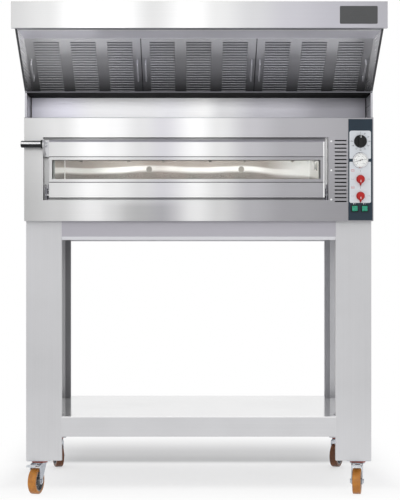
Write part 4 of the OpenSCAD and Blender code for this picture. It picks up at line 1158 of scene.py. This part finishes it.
def floor_look():
    """Pale floor that keeps the object's shadow, with a painted shadow in a band behind the object and
    white glow that lifts the shadow near it, and that turns to the white background further out
    """
    f = Finish("floor_pale", Metallic=0.0, Roughness=0.7)
    cloud = f.noise(1.5)
    pale = f.ramp(cloud, ((0.3, "f3f3f4"), (0.7, "f6f6f7")))
    back = f.remap(f.axis("Y"), -1.0, 2.0)
    side = f.add("MapRange", Value=f.math("ABSOLUTE", f.axis("X")), From_Min=0.5, From_Max=0.95,
                 settings={"interpolation_type": "SMOOTHSTEP"})
    deep = f.ramp(back, [((y + 1) / 3, level) for y, level in FLOOR_FADE], "EASE")
    fade = f.math("MAXIMUM", side, f.add("RGBToBW", Color=deep))
    # painted shadow: the floor's colour dimmed in that band
    shade = f.ramp(back, [((y + 1) / 3, level) for y, level in FLOOR_SHADE], "EASE")
    f.colour(f.mix(1.0, pale, f.mix(side, shade, 1.0), "MULTIPLY"))
    seen = f.math("ADD", f.add("LightPath", "Is Camera Ray"), f.add("LightPath", "Is Glossy Ray"))
    seen = f.math("ADD", seen, f.add("LightPath", "Is Transmission Ray"), True)
    glow = f.add("Emission", Color="ffffff", Strength=1.0)
    f.blend(f.times(fade, seen), f.shader.outputs[0], glow, "Material Output")
    return f.material


def make_floor():
    """One large square under the object"""
    h = FLOOR_HALF
    mesh = bpy.data.meshes.new("floor")
    mesh.from_pydata([(-h, -h, 0), (h, -h, 0), (h, h, 0), (-h, h, 0)], [], [(0, 1, 2, 3)])
    floor = placed("floor", mesh)
    mesh.materials.append(floor_look())


def make_world():
    """White behind everything; a softer studio surround lights the object"""
    world = bpy.data.worlds.new("studio")
    bpy.context.scene.world = world
    world.use_nodes = True
    studio = Tree(world.node_tree, "Generated")
    height = studio.remap(studio.axis("Z"), -1.0, 1.0)
    pale = studio.ramp(height, ((0.3, "a6a6aa"), (0.58, "f6f6f6")))
    surround = studio.add("Background", Color=pale, Strength=1.0)
    white = studio.add("Background", Color="ffffff", Strength=1.0)
    studio.blend(studio.add("LightPath", "Is Camera Ray"), surround, white, "World Output")


def area_lamp(name, place, aim, width, height, power):
    """Rectangular lamp at a place, turned to its aim"""
    data = bpy.data.lights.new(name, "AREA")
    data.shape = "RECTANGLE"
    data.size = width
    data.size_y = height
    data.energy = power
    lamp = placed(name, data)
    lamp.location = place
    lamp.rotation_euler = (Vector(aim) - Vector(place)).to_track_quat("-Z", "Y").to_euler()
    return lamp


def softbox(name, place, aim, width, height, level):
    """Lamp whose face has that brightness, where 1 is white"""
    return area_lamp(name, place, aim, width, height, level * math.pi * width * height)


def make_lights():
    """Studio lamps, and small ones under the hood and before the plinth"""
    softbox("key", (-2.6, -4.6, 4.2), (0, 0, 1.0), 2.2, 2.2, 1.1)
    softbox("front", (0.0, -6.4, 2.3), (0, 0, 1.5), 3.4, 1.2, 1.6)
    hood_at = (0.0, tray_lo.y + 0.035, tray_hi.z + 0.006)
    softbox("hood", hood_at, (0, -0.12, fascia_lo.z), 1.25, 0.05, 1.8)
    plinth_at = (-0.1, face_y + 0.02, tray_lo.z - 0.018)
    softbox("plinth", plinth_at, (-0.1, plinth_lo.y, plinth_lo.z + 0.02), 1.1, 0.03, 2.0)
    softbox("rear", (1.5, 4.5, 3.2), (0, 0, 1.0), 2.2, 2.0, 1.0)
    wall_x, wall_y = fascia_lo.x + 0.014, fascia_lo.y + 0.12
    wall_at = (fascia_lo.x + 0.28, wall_y, fascia_lo.z - 0.17)
    wall = softbox("hood_wall", wall_at, (wall_x, wall_y, fascia_lo.z - 0.07), 0.2, 0.14, 1.8)
    wall.visible_glossy = False


CHAMBER_POWER = 4.5
CHAMBER_TILT = math.radians(76)    # from straight down towards the rear


def chamber_light():
    """The oven's own lamp lights the chamber"""
    place = Vector(((chamber_lo.x + chamber_hi.x) / 2, chamber_lo.y + 0.08, chamber_hi.z - 0.03))
    aim = place + Vector((0, math.sin(CHAMBER_TILT), -math.cos(CHAMBER_TILT)))
    area_lamp("chamber_light", place, aim, 0.9, 0.3, CHAMBER_POWER)


make_floor()
make_world()
make_lights()
chamber_light()

bpy.context.scene.view_settings.view_transform = "Standard"
